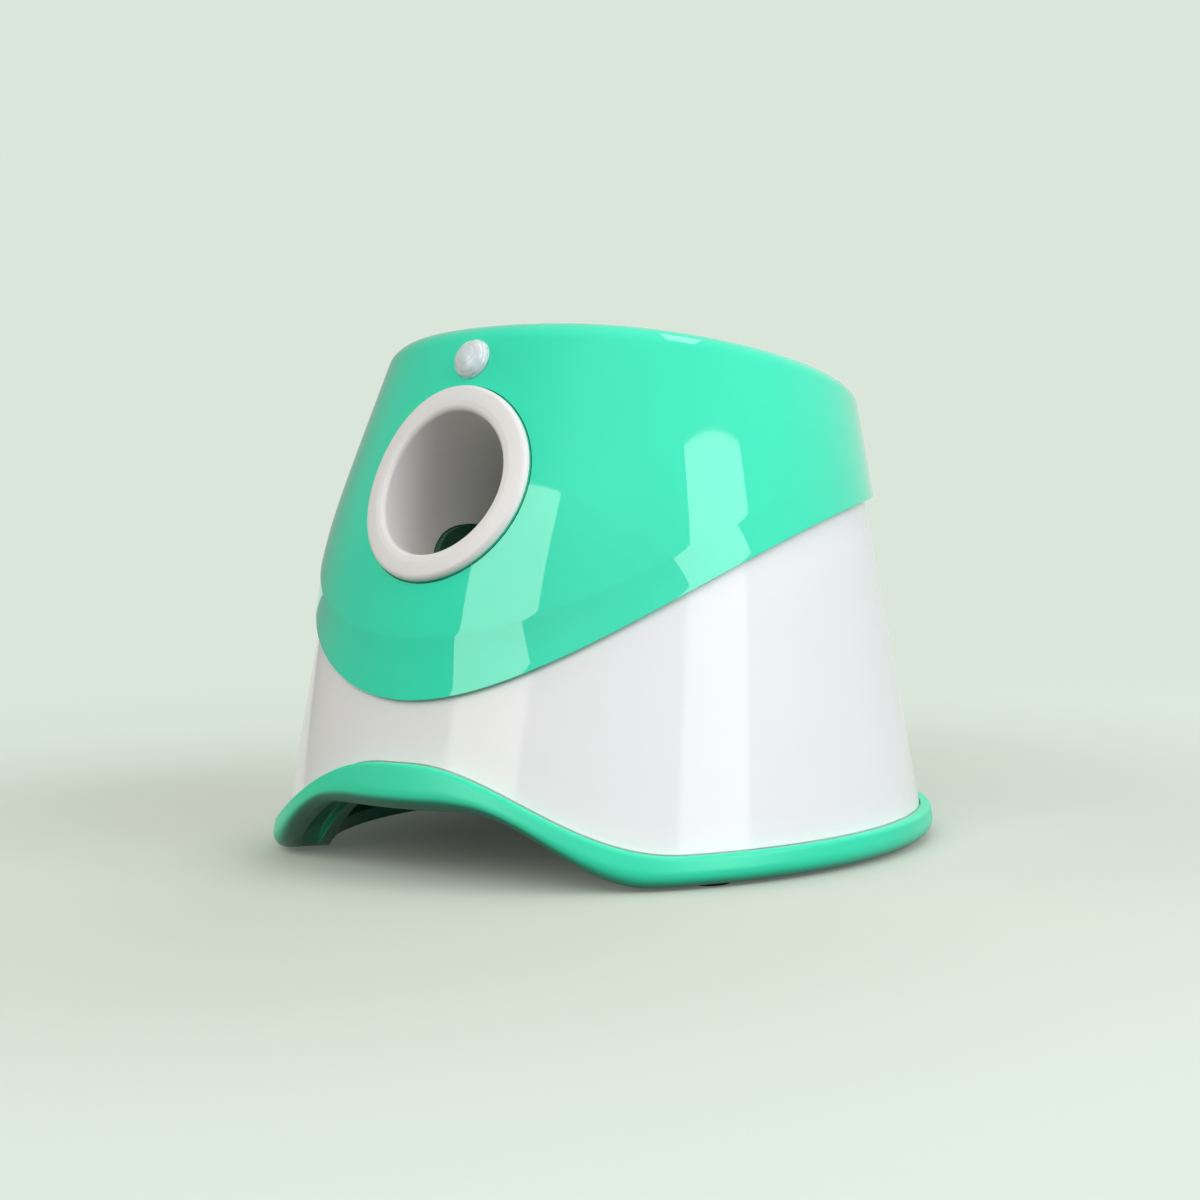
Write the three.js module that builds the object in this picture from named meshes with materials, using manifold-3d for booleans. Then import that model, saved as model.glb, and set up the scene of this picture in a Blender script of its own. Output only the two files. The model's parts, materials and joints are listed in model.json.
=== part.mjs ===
// Automatic dog ball launcher: a round case with a hopper bowl on top and an arched foot ring below.
// A motor and a part-toothed gear draw a sprung striker back in a tilted barrel behind the muzzle.
// Millimetres, +Z up, the muzzle faces -Y, origin on the floor under the middle of the case.
import * as THREE from "three";
import { mergeVertices } from "three/addons/utils/BufferGeometryUtils.js";
import Module from "manifold-3d";

const wasm = await Module();
wasm.setup();

// Clearances
const seatGap = 0.3;
const slideGap = 0.5;
const overrun = 5;

// Case: half width, half depth and backward shift of its round section at three heights
const floorHalfWidth = 138;
const floorHalfDepth = 134.5;
const kneeHeight = 131;
const kneeHalfWidth = 119;
const kneeHalfDepth = 104.3;
const kneeShift = 4;
const kneeFlat = 3;
const kneeBlend = 10;
const rimHeight = 201;
const rimHalfWidth = 96.2;
const rimHalfDepth = 94;
const rimShift = 20.8;
const rimFlat = 7.5;
const rimTilt = 12.9;
const flatPower = 4;

// Upper and lower case shells
const bodyWall = 2.6;
const shellProud = 4.2;
const lapGap = 0.4;
const shellLap = 10;
const rimRound = 6;
const rimLipWidth = 10;
const rimLipDepth = 5.5;
const edgeFrontHeight = 70;
const edgeBackHeight = 141.5;
const edgeRun = 203;
const edgePower = 2.55;

// Foot ring, its front arch and its pads
const ringLedge = 4.6;
const ringTop = 12.8;
const ringInner = 20;
const ringRound = 7;
const archTopRise = 33.6;
const archTopCrown = 3;
const archTopHalf = 52;
const archUnderRise = 29.5;
const archUnderCrown = 15;
const archUnderHalf = 46.5;
const cornerShare = 0.3;
const brinkShare = 0.5;
const padHeight = 1.1;
const padRadius = 7.5;
const padInset = 9.5;
const padAngles = [-58, 58, 122, 238];

// Ball, barrel and muzzle
const ballRadius = 25.4;
const ballPlay = 2.6;
const barrelWall = 3;
const barrelTilt = 25;
const muzzleHeight = 153.5;
const muzzleBore = 30.3;
const muzzleWall = 2.4;
const muzzleFlange = 41;
const muzzleThick = 3.2;
const muzzleLip = 2.2;
const muzzleDepth = 75;
const scarfShares = [
  [0.32, 1.1],
  [0.393, 0.663],
  [0.507, 0.155],
  [0.581, 0],
  [0.741, -0.208],
  [0.9, -0.4],
];
const barrelRearGap = 30.1;

// Striker, its spring and its end cap
const strikeTravel = 55;
const plungerLength = 62;
const plungerFloor = 8;
const plungerBore = 20;
const armShares = { start: 0.25, end: 0.7 };
const faceThick = 2.5;
const faceRadius = 22;
const springRadius = 14.5;
const springWire = 2.6;
const springTurns = 8;
const springSteps = 9;
const capThick = 3;
const capSpigot = 4;

// Gears: teeth, module and face widths
const rackModule = 2;
const sectorCount = 24;
const sectorTeeth = 12;
const lastToothShare = 1.5;
const gearFace = 8;
const rackBack = 5.5;
const rackClear = 3;
const spurModule = 1.5;
const wheelCount = 40;
const pinionCount = 10;
const wheelFace = 6;
const gearStep = 4;
const backlash = 0.3;
const gearBehindPocket = 34;
const axleRadius = 3;
const toothShares = { root: 0.29, tip: 0.12 };
const addendumShare = 0.8;
const dedendumShare = 1.25;

// Gearbox plates, pillars and motor
const plateThick = 3;
const plateOuter = 25;
const plateRear = 33;
const plateFront = 54;
const pillarRadius = 3;
const pillarInset = 4;
const screwRadius = 1.5;
const screwHeadRadius = 3;
const screwHeadHeight = 2;
const motorRadius = 16.5;
const motorLength = 40;
const motorShaft = 1.5;
const hubRadius = 6;

// Cradle ribs under the barrel and gearbox
const ribThick = 4;
const ribSide = 32;
const frontRibAhead = 15;
const rearRibBehind = 43;
const frontRibOuter = 46;
const rearRibOuter = 90;
const ribReach = 150;

// Hopper bowl and throat
const bowlWall = 2.5;
const bowlFlange = 1;
const bowlPower = 1.8;
const throatBore = 29;
const throatWall = 2;
const throatTop = 46;
const throatDrop = 0.9;

// Bottom pan, its screws and bosses
const panThick = 2.5;
const panFrontHeight = 52;
const panRearHeight = 12;
const bossRadius = 4;
const bossHeight = 10;
const bossInset = 3.6;
const bossAngles = [-70, 70, 125, 235];

// Batteries
const cellRadius = 13;
const cellLength = 50;
const cellPitch = 26.7;
const cellColumns = 2;
const cellRows = 2;
const contactThick = 0.8;
const contactGap = 0.5;
const batteryWall = 2;
const batterySide = -66;
const batteryBack = 0;
const terminalRadius = 3;
const terminalHeight = 1.2;

// Control panel on the rear left of the case, and the boards
const panelAngle = 215;
const panelHeight = 84;
const panelWidth = 56;
const panelTall = 34;
const panelLip = 4;
const panelThick = 2.5;
const panelRecess = 0.6;
const buttonRadius = 6;
const buttonProud = 2;
const buttonTravel = 1.5;
const buttonCollar = 1.4;
const buttonSpacing = 17;
const collarThick = 1.2;
const ledRadius = 1.5;
const ledSpacing = 6;
const postRadius = 2.5;
const boardThick = 1.6;
const boardDepth = 9;
const switchSide = 6;
const jackRadius = 5.5;
const jackBore = 3;
const jackPin = 1;
const buzzerRadius = 6;
const buzzerHeight = 5;

// Motion sensor over the muzzle
const sensorAbove = 11.92;
const lensRadius = 8;
const lensHeight = 5.5;
const lensStem = 5.5;
const lensStemWall = 1.2;
const sensorCanRadius = 3.8;
const sensorCanLength = 4;
const sensorBoardRadius = 6.2;
const sensorBoardThick = 1.2;

// Facet counts
const caseSides = 60;
const wallSteps = 4;
const roundSides = 32;
const midSides = 20;
const smallSides = 12;

const fullTurn = 2 * Math.PI;
const radians = THREE.MathUtils.degToRad;

// Sections of the case
function along(floorValue, kneeValue, rimValue, z) {
  const lower = (kneeValue - floorValue) / kneeHeight;
  const upper = (rimValue - kneeValue) / (rimHeight - kneeHeight);
  const rise = kneeBlend * Math.log(1 + Math.exp((z - kneeHeight) / kneeBlend));
  return floorValue + lower * z + (upper - lower) * rise;
}

const halfWidth = (z) => along(floorHalfWidth, kneeHalfWidth, rimHalfWidth, z);
const halfDepth = (z) => along(floorHalfDepth, kneeHalfDepth, rimHalfDepth, z);
const shift = (z) => along(0, kneeShift, rimShift, z);
const flat = (z) => along(0, kneeFlat, rimFlat, z);

// A point on the case wall: angle from the front towards +X, height, and offset out from the white body
function casePoint(angle, z, offset) {
  const facing = Math.cos(angle);
  const pressed = flat(z) * Math.max(facing, 0) ** flatPower;
  const x = (halfWidth(z) + offset) * Math.sin(angle);
  const y = shift(z) - (halfDepth(z) + offset) * facing + pressed;
  return new THREE.Vector3(x, y, z);
}

// Solves for the height at which the case wall meets a surface given as a height over y
function heightOn(surface, angle, offset, start) {
  let z = start;
  for (let step = 0; step < 24; step += 1) {
    z = (z + surface(casePoint(angle, z, offset).y)) / 2;
  }
  return z;
}

const rimPlane = (y) => rimHeight - Math.tan(radians(rimTilt)) * y;
const panPlane = (y) => {
  const share = (y + floorHalfDepth) / (2 * floorHalfDepth);
  return panFrontHeight + (panRearHeight - panFrontHeight) * share;
};
const edgeStart = casePoint(0, edgeFrontHeight, shellProud).y;
const edgeCurve = (y) => {
  const share = THREE.MathUtils.clamp((y - edgeStart) / edgeRun, 0, 1);
  return edgeBackHeight - (edgeBackHeight - edgeFrontHeight) * (1 - share) ** edgePower;
};

// Height of the front arch at an angle, as a share of its rise: level over the crown, then an even fall
function archShare(angle, crown, half) {
  const fromFront = Math.abs(Math.atan2(Math.sin(angle), Math.cos(angle)));
  const reach = (fromFront - radians(crown)) / radians(half - crown);
  return (1 + Math.cos(Math.PI * THREE.MathUtils.clamp(reach, 0, 1))) / 2;
}

const ringUnderAt = (angle) => {
  return padHeight + seatGap + archUnderRise * archShare(angle, archUnderCrown, archUnderHalf);
};
const ringTopAt = (angle) => ringTop + archTopRise * archShare(angle, archTopCrown, archTopHalf);
const ringSeatAt = (angle) => (ringUnderAt(angle) + ringTopAt(angle)) / 2;

// Solids and booleans
function toSolid(geometry, matrix) {
  const bare = geometry.clone();
  bare.deleteAttribute("normal");
  bare.deleteAttribute("uv");
  if (matrix) bare.applyMatrix4(matrix);
  const merged = mergeVertices(bare);
  const index = merged.index.array;
  const kept = [];
  for (let i = 0; i < index.length; i += 3) {
    const [a, b, c] = index.slice(i, i + 3);
    if (a !== b && b !== c && c !== a) kept.push(a, b, c);
  }
  const mesh = { numProp: 3, vertProperties: merged.attributes.position.array, triVerts: new Uint32Array(kept) };
  return new wasm.Manifold(new wasm.Mesh(mesh));
}

function toGeometry(solid) {
  const mesh = solid.getMesh();
  const geometry = new THREE.BufferGeometry();
  geometry.setAttribute("position", new THREE.BufferAttribute(new Float32Array(mesh.vertProperties), 3));
  geometry.setIndex(new THREE.BufferAttribute(new Uint32Array(mesh.triVerts), 1));
  return geometry;
}

function cut(geometry, ...tools) {
  let solid = toSolid(geometry);
  for (const tool of tools) solid = solid.subtract(toSolid(tool));
  return toGeometry(solid);
}

function join(geometry, ...others) {
  let solid = toSolid(geometry);
  for (const other of others) solid = solid.add(toSolid(other));
  return toGeometry(solid);
}

function clip(geometry, tool) {
  return toGeometry(toSolid(geometry).intersect(toSolid(tool)));
}

// Plain shapes, all along +Z
function block(x0, x1, y0, y1, z0, z1) {
  const geometry = new THREE.BoxGeometry(x1 - x0, y1 - y0, z1 - z0);
  return geometry.translate((x0 + x1) / 2, (y0 + y1) / 2, (z0 + z1) / 2);
}

function rod(radius, z0, z1, sides = smallSides, x = 0, y = 0) {
  const geometry = new THREE.CylinderGeometry(radius, radius, z1 - z0, sides);
  return geometry.rotateX(Math.PI / 2).translate(x, y, (z0 + z1) / 2);
}

function turned(profile, sides = roundSides) {
  const points = profile.map(([radius, z]) => new THREE.Vector2(radius, z));
  return outward(new THREE.LatheGeometry(points, sides).rotateX(Math.PI / 2));
}

function tube(outer, inner, z0, z1, sides = roundSides) {
  return turned([[inner, z0], [outer, z0], [outer, z1], [inner, z1], [inner, z0]], sides);
}

// Closes a ring of equal loops of points into one solid
function loft(loops) {
  const count = loops[0].length;
  const positions = loops.flat().flatMap((point) => point.toArray());
  const index = [];
  loops.forEach((_, i) => {
    const next = (i + 1) % loops.length;
    for (let k = 0; k < count; k += 1) {
      const after = (k + 1) % count;
      const corners = [i * count + k, next * count + k, next * count + after, i * count + after];
      index.push(corners[0], corners[1], corners[2], corners[0], corners[2], corners[3]);
    }
  });
  const geometry = new THREE.BufferGeometry();
  geometry.setAttribute("position", new THREE.Float32BufferAttribute(positions, 3));
  geometry.setIndex(index);
  return outward(geometry);
}

// Turns the faces out where the signed volume is negative
function outward(geometry) {
  const position = geometry.attributes.position;
  const index = geometry.index.array;
  const corner = (i) => new THREE.Vector3().fromBufferAttribute(position, index[i]);
  let volume = 0;
  for (let i = 0; i < index.length; i += 3) volume += corner(i).dot(corner(i + 1).cross(corner(i + 2)));
  if (volume < 0) geometry.setIndex(Array.from(index).reverse());
  return geometry;
}

function caseRing(loopAt) {
  const angles = Array.from({ length: caseSides }, (_, i) => (fullTurn * i) / caseSides);
  return loft(angles.map(loopAt));
}

function stations(from, to, count) {
  return Array.from({ length: count + 1 }, (_, i) => from + ((to - from) * i) / count);
}

// Frames: the launch frame runs back along the barrel from the muzzle, with +Y down in the barrel's plane
const root = new THREE.Group();

function frameOf(parent, place) {
  const frame = new THREE.Group();
  place(frame);
  parent.add(frame);
  root.updateMatrixWorld(true);
  return frame;
}

const muzzlePoint = casePoint(0, muzzleHeight, shellProud);
const launch = frameOf(root, (frame) => {
  frame.position.copy(muzzlePoint);
  frame.rotation.x = -Math.PI / 2 - radians(barrelTilt);
});

// Depth along the barrel's axis at which it meets the inside of the rear wall
function rearWallDepth() {
  const back = new THREE.Vector3(0, 0, 1).transformDirection(launch.matrixWorld);
  let low = 0;
  let high = 4 * floorHalfDepth;
  for (let step = 0; step < 30; step += 1) {
    const middle = (low + high) / 2;
    const point = muzzlePoint.clone().addScaledVector(back, middle);
    if (point.y < casePoint(Math.PI, point.z, -bodyWall).y) low = middle;
    else high = middle;
  }
  return low;
}

const barrelBore = ballRadius + ballPlay;
const barrelOuter = barrelBore + barrelWall;
const throatOuter = throatBore + throatWall;
const barrelStart = muzzleDepth + seatGap;
const barrelEnd = rearWallDepth() - barrelRearGap;
const strikerEnd = barrelEnd - capSpigot - slideGap - strikeTravel;
const strikerStart = strikerEnd - plungerLength;
const pocketDepth = strikerStart + throatBore + slideGap;
const gearStation = pocketDepth + gearBehindPocket;

// The gear frame sits on the sector gear's axle: +Z down to the motor, +Y towards the muzzle
const rackRoot = barrelOuter + rackClear + rackBack;
const rackPitchLine = rackRoot + dedendumShare * rackModule;
const sectorRadius = (rackModule * sectorCount) / 2;
const gearSide = rackPitchLine + sectorRadius + backlash;
const gears = frameOf(launch, (frame) => {
  frame.position.set(gearSide, 0, gearStation);
  frame.rotation.x = -Math.PI / 2;
});
const wheelRadius = (spurModule * wheelCount) / 2;
const pinionRadius = (spurModule * pinionCount) / 2;
const pinionReach = wheelRadius + pinionRadius + backlash;
const wheelStart = gearFace / 2 + gearStep;
const wheelEnd = wheelStart + wheelFace;
const lowerPlate = wheelEnd + gearStep - seatGap;
const upperPlate = -gearFace / 2 - gearStep + seatGap;

const panTilt = Math.atan2(panRearHeight - panFrontHeight, 2 * floorHalfDepth);
const pan = frameOf(root, (frame) => {
  frame.position.z = panPlane(0) + panThick / Math.cos(panTilt);
  frame.rotation.x = panTilt;
});

// A frame on the case wall: +Z out of the wall, +Y up along it
function wallFrame(angle, z, offset) {
  const span = rimLipWidth;
  const up = casePoint(angle, z + span, offset).sub(casePoint(angle, z - span, offset)).normalize();
  const turn = span / halfWidth(z);
  const side = casePoint(angle + turn, z, offset).sub(casePoint(angle - turn, z, offset)).normalize();
  const out = new THREE.Vector3().crossVectors(side, up).normalize();
  const across = new THREE.Vector3().crossVectors(up, out);
  return frameOf(root, (frame) => {
    frame.matrix.makeBasis(across, up, out).setPosition(casePoint(angle, z, offset));
    frame.matrix.decompose(frame.position, frame.quaternion, frame.scale);
  });
}

const panel = wallFrame(radians(panelAngle), panelHeight, 0);
const sensorDown = -muzzleFlange - sensorAbove;
const sensorSeat = new THREE.Vector3(0, sensorDown, shellDepth(0, sensorDown)).applyMatrix4(launch.matrixWorld);
const sensor = wallFrame(0, sensorSeat.z, shellProud);

const moved = (geometry, frame) => geometry.clone().applyMatrix4(frame.matrixWorld);
const seen = (geometry, from, to) => {
  const matrix = to.matrixWorld.clone().invert().multiply(from.matrixWorld);
  return geometry.clone().applyMatrix4(matrix);
};

// Materials
function finish(color, roughness, metalness = 0) {
  return new THREE.MeshStandardMaterial({ color, roughness, metalness });
}

const mintGloss = finish(0x35dca6, 0.18);
const whiteGloss = finish(0xe9e6e6, 0.2);
const darkGreen = finish(0x1c4a3c, 0.35);
const blackRubber = finish(0x1b1b1c, 0.85);
const greyPlastic = finish(0x6c7175, 0.5);
const nylonWhite = finish(0xe7e2d2, 0.45);
const acetalCream = finish(0xdad5c4, 0.4);
const springSteel = finish(0xb9bcc0, 0.25, 1);
const platedSteel = finish(0xa8abb0, 0.3, 1);
const boardGreen = finish(0x1e5a35, 0.5);
const cellSleeve = finish(0x33383f, 0.4);
const lensWhite = finish(0xeef0f2, 0.25);
const blackPlastic = finish(0x202224, 0.5);
const ledGlow = finish(0x6fe0b0, 0.3);

function add(name, geometry, material, parent = root) {
  const mesh = new THREE.Mesh(toGeometry(toSolid(geometry)), material);
  mesh.name = name;
  parent.add(mesh);
}

// Upper case shell with its rolled rim
function addTopShell() {
  const wall = shellProud - lapGap;
  const bends = stations(0, Math.PI / 2, 3);
  const shell = caseRing((angle) => {
    const low = heightOn(edgeCurve, angle, shellProud, edgeFrontHeight);
    const top = heightOn(rimPlane, angle, shellProud, rimHeight);
    const at = (offset, z) => casePoint(angle, z, offset);
    const inner = shellProud - rimLipWidth;
    const wallHeights = [low, ...stations(low + shellLap, top - rimRound, wallSteps)];
    return [
      ...wallHeights.map((z) => at(shellProud, z)),
      ...bends.slice(1).map((bend) => {
        const out = shellProud - rimRound * (1 - Math.cos(bend));
        return at(out, top - rimRound * (1 - Math.sin(bend)));
      }),
      at(inner, top - wall / 2),
      at(inner, top - rimLipDepth),
      at(inner + wall, top - rimLipDepth),
      at(inner + wall, top - wall),
      ...wallHeights.toReversed().map((z) => at(lapGap, z)),
    ];
  });
  const muzzleHole = rod(muzzleBore + muzzleWall + seatGap, -muzzleFlange, muzzleDepth, roundSides);
  const lensHole = rod(lensStem + seatGap, -lensHeight - overrun, overrun);
  add("top_shell", cut(shell, moved(muzzleHole, launch), moved(lensHole, sensor)), mintGloss);
}

// Lower case body with screw bosses and the control panel's window
function bossPlace(degrees) {
  const angle = radians(degrees);
  const offset = -bodyWall - bossInset;
  const panTop = heightOn(panPlane, angle, offset, panFrontHeight) + panThick / Math.cos(panTilt);
  const z = panTop + bossRadius * Math.tan(-panTilt) + seatGap;
  return casePoint(angle, z, offset);
}

function addLowerBody() {
  const body = caseRing((angle) => {
    const low = ringSeatAt(angle) + seatGap;
    const edge = heightOn(edgeCurve, angle, shellProud, edgeFrontHeight);
    const wallHeights = [...stations(low, edge, wallSteps), edge + shellLap];
    return [
      ...wallHeights.map((z) => casePoint(angle, z, 0)),
      ...wallHeights.toReversed().map((z) => casePoint(angle, z, -bodyWall)),
    ];
  });
  const bosses = bossAngles.map((degrees) => {
    const place = bossPlace(degrees);
    return rod(bossRadius, place.z, place.z + bossHeight, smallSides, place.x, place.y);
  });
  const holes = bossAngles.map((degrees) => {
    const place = bossPlace(degrees);
    const top = place.z + bossHeight - screwRadius;
    return rod(screwRadius + seatGap, place.z - overrun, top, smallSides, place.x, place.y);
  });
  const half = panelWidth / 2;
  const window = block(-half, half, -panelTall / 2, panelTall / 2, -panelWidth / 2, overrun);
  add("lower_body", cut(join(body, ...bosses), moved(window, panel), ...holes), whiteGloss);
}

// Foot ring with its front arch
function addFootRing() {
  const ring = caseRing((angle) => {
    const under = ringUnderAt(angle);
    const top = ringTopAt(angle);
    const seat = ringSeatAt(angle);
    const curl = Math.min(ringRound, (top - under) / 2);
    const at = (offset, z) => casePoint(angle, z, offset);
    return [
      at(ringLedge - curl, under),
      at(ringLedge - curl * cornerShare, under + curl * cornerShare),
      at(ringLedge, under + curl),
      at(ringLedge, top - curl * brinkShare),
      at(ringLedge - curl * brinkShare, top),
      at(seatGap, top),
      at(seatGap, seat),
      at(-ringInner, seat),
      at(-ringInner, under),
    ];
  });
  add("foot_ring", ring, mintGloss);
  padAngles.forEach((degrees, i) => {
    const place = casePoint(radians(degrees), 0, ringLedge - ringRound - padInset);
    add(`foot_pad_${i + 1}`, rod(padRadius, 0, padHeight, smallSides, place.x, place.y), blackRubber);
  });
}

// Depth along the barrel at which a line through the muzzle's plane meets the upper shell
function shellDepth(x, y) {
  const start = new THREE.Vector3(x, y, -muzzleFlange).applyMatrix4(launch.matrixWorld);
  const back = new THREE.Vector3(0, 0, 1).transformDirection(launch.matrixWorld);
  let low = 0;
  let high = 2 * muzzleFlange;
  for (let step = 0; step < 30; step += 1) {
    const middle = (low + high) / 2;
    const point = start.clone().addScaledVector(back, middle);
    const angle = Math.asin(point.x / (halfWidth(point.z) + shellProud));
    if (point.y < casePoint(angle, point.z, shellProud).y) low = middle;
    else high = middle;
  }
  return low - muzzleFlange;
}

// Muzzle ring: a flange that follows the shell's face, and the white tube behind it
function addMuzzle() {
  const angles = Array.from({ length: roundSides }, (_, i) => (fullTurn * i) / roundSides);
  const outer = muzzleBore + muzzleWall;
  const ring = loft(angles.map((angle) => {
    const at = (radius, z) => new THREE.Vector3(radius * Math.cos(angle), radius * Math.sin(angle), z);
    const onShell = (radius, above) => {
      const depth = shellDepth(radius * Math.cos(angle), radius * Math.sin(angle));
      return at(radius, depth - above);
    };
    return [
      onShell(muzzleBore, muzzleThick - muzzleLip),
      onShell(muzzleBore + muzzleLip * cornerShare, muzzleThick - muzzleLip * cornerShare),
      onShell(muzzleBore + muzzleLip, muzzleThick),
      onShell(muzzleFlange - muzzleLip, muzzleThick),
      onShell(muzzleFlange - muzzleLip * cornerShare, muzzleThick - muzzleLip * cornerShare),
      onShell(muzzleFlange, muzzleThick - muzzleLip),
      onShell(muzzleFlange, seatGap),
      onShell(outer, seatGap),
      at(outer, muzzleDepth),
      at(muzzleBore, muzzleDepth),
    ];
  }));
  add("muzzle_ring", cut(ring, scarf(0)), whiteGloss, launch);
}

// Below and behind the scarf line the white tube is cut away, and the barrel's lower front runs in its place
function scarf(gap) {
  const line = scarfShares.map(([depthShare, boreShare]) => [
    depthShare * muzzleDepth + gap,
    boreShare * muzzleBore + gap,
  ]);
  const reach = barrelOuter + overrun;
  const side = new THREE.Shape();
  line.forEach(([z, y], i) => (i === 0 ? side.moveTo(z, y) : side.lineTo(z, y)));
  const last = line.at(-1);
  side.lineTo(muzzleDepth + overrun, last[1]);
  side.lineTo(muzzleDepth + overrun, reach);
  side.lineTo(line[0][0], reach);
  const body = new THREE.ExtrudeGeometry(side, { depth: 2 * reach, bevelEnabled: false });
  return body.rotateY(-Math.PI / 2).translate(reach, 0, 0);
}

// Barrel with a ball opening on top and a slot for the striker's arm
const armStart = strikerStart + plungerLength * armShares.start;
const armEnd = strikerStart + plungerLength * armShares.end;
const armHalf = gearFace / 2;

function addBarrel() {
  const bore = barrelBore;
  const tongue = clip(
    tube(barrelOuter, bore, scarfShares[0][0] * muzzleDepth - overrun, muzzleDepth + overrun, roundSides),
    scarf(seatGap),
  );
  const shape = join(tube(barrelOuter, bore, barrelStart, barrelEnd, roundSides), tongue);
  const opening = rod(bore, 0, barrelOuter + overrun).rotateX(Math.PI / 2).translate(0, 0, pocketDepth);
  const slotHalf = armHalf + slideGap;
  const slotEnd = armEnd + strikeTravel + slideGap;
  const slot = block(0, barrelOuter + overrun, -slotHalf, slotHalf, armStart - slideGap, slotEnd);
  add("barrel", cut(shape, opening, slot), darkGreen, launch);

  const spigot = bore - seatGap;
  const capStart = barrelEnd + seatGap;
  const cap = turned([
    [0, barrelEnd - capSpigot],
    [spigot, barrelEnd - capSpigot],
    [spigot, capStart],
    [barrelOuter, capStart],
    [barrelOuter, capStart + capThick],
    [0, capStart + capThick],
  ]);
  add("barrel_end_cap", cap, greyPlastic, launch);
}

// Striker: a cup that carries the rack on an arm, with a rubber face and the spring inside
function addStriker() {
  const radius = barrelBore - slideGap;
  const faceEnd = strikerStart + faceThick;
  const cup = turned([
    [0, faceEnd + seatGap],
    [radius, faceEnd + seatGap],
    [radius, strikerEnd],
    [plungerBore, strikerEnd],
    [plungerBore, faceEnd + plungerFloor],
    [0, faceEnd + plungerFloor],
  ]);
  const armInner = (plungerBore + radius) / 2;
  const arm = block(armInner, barrelOuter + rackClear + rackBack / 2, -armHalf, armHalf, armStart, armEnd);
  const pitch = Math.PI * rackModule;
  const count = Math.ceil(strikeTravel / pitch) + 1;
  const bar = new THREE.Shape();
  const x = (share) => rackPitchLine + share * rackModule;
  bar.moveTo(barrelOuter + rackClear, gearStation + pitch);
  bar.lineTo(barrelOuter + rackClear, gearStation - count * pitch + pitch / 2);
  bar.lineTo(rackRoot, gearStation - count * pitch + pitch / 2);
  for (let tooth = 1 - count; tooth <= 0; tooth += 1) {
    const middle = gearStation + tooth * pitch;
    bar.lineTo(x(-dedendumShare), middle - toothShares.root * pitch);
    bar.lineTo(x(addendumShare), middle - toothShares.tip * pitch);
    bar.lineTo(x(addendumShare), middle + toothShares.tip * pitch);
    bar.lineTo(x(-dedendumShare), middle + toothShares.root * pitch);
  }
  bar.lineTo(rackRoot, gearStation + pitch);
  const rack = new THREE.ExtrudeGeometry(bar, { depth: gearFace, bevelEnabled: false });
  rack.rotateX(Math.PI / 2).translate(0, armHalf, 0);
  add("striker", join(cup, arm, rack), nylonWhite, launch);
  add("striker_face", rod(faceRadius, strikerStart, faceEnd, roundSides), blackRubber, launch);
  addSpring(faceEnd + plungerFloor + seatGap, barrelEnd - capSpigot - seatGap);
}

function addSpring(from, to) {
  const wire = springWire / 2;
  const count = springTurns * springSteps;
  const points = stations(0, 1, count).map((share) => {
    const angle = share * springTurns * fullTurn;
    const z = from + wire + (to - from - springWire) * share;
    return new THREE.Vector3(springRadius * Math.cos(angle), springRadius * Math.sin(angle), z);
  });
  const path = new THREE.CatmullRomCurve3(points);
  const section = new THREE.Shape();
  section.absarc(0, 0, wire, 0, fullTurn);
  const settings = { steps: count, curveSegments: 3, extrudePath: path, bevelEnabled: false };
  add("launch_spring", new THREE.ExtrudeGeometry(section, settings), springSteel, launch);
}

// Outline of a spur gear whose teeth fill part or all of the turn; tooth 0 is centred at firstTooth
function gearOutline(module, count, teeth, firstTooth) {
  const radius = (module * count) / 2;
  const pitch = fullTurn / count;
  const shape = new THREE.Shape();
  const corners = [];
  const put = (reach, angle) => corners.push([reach * Math.cos(angle), reach * Math.sin(angle)]);
  for (let tooth = 0; tooth < count; tooth += 1) {
    const middle = firstTooth + tooth * pitch;
    const root = radius - dedendumShare * module;
    put(root, middle - toothShares.root * pitch);
    if (tooth < teeth) {
      put(radius + addendumShare * module, middle - toothShares.tip * pitch);
      put(radius + addendumShare * module, middle + toothShares.tip * pitch);
      put(root, middle + toothShares.root * pitch);
    }
  }
  shape.setFromPoints(corners.map(([x, y]) => new THREE.Vector2(x, y)));
  return shape;
}

function gear(shape, bore, z0, z1) {
  const hole = new THREE.Path();
  hole.absarc(0, 0, bore, 0, fullTurn, true);
  shape.holes.push(hole);
  const settings = { depth: z1 - z0, curveSegments: midSides, bevelEnabled: false };
  return new THREE.ExtrudeGeometry(shape, settings).translate(0, 0, z0);
}

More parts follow.
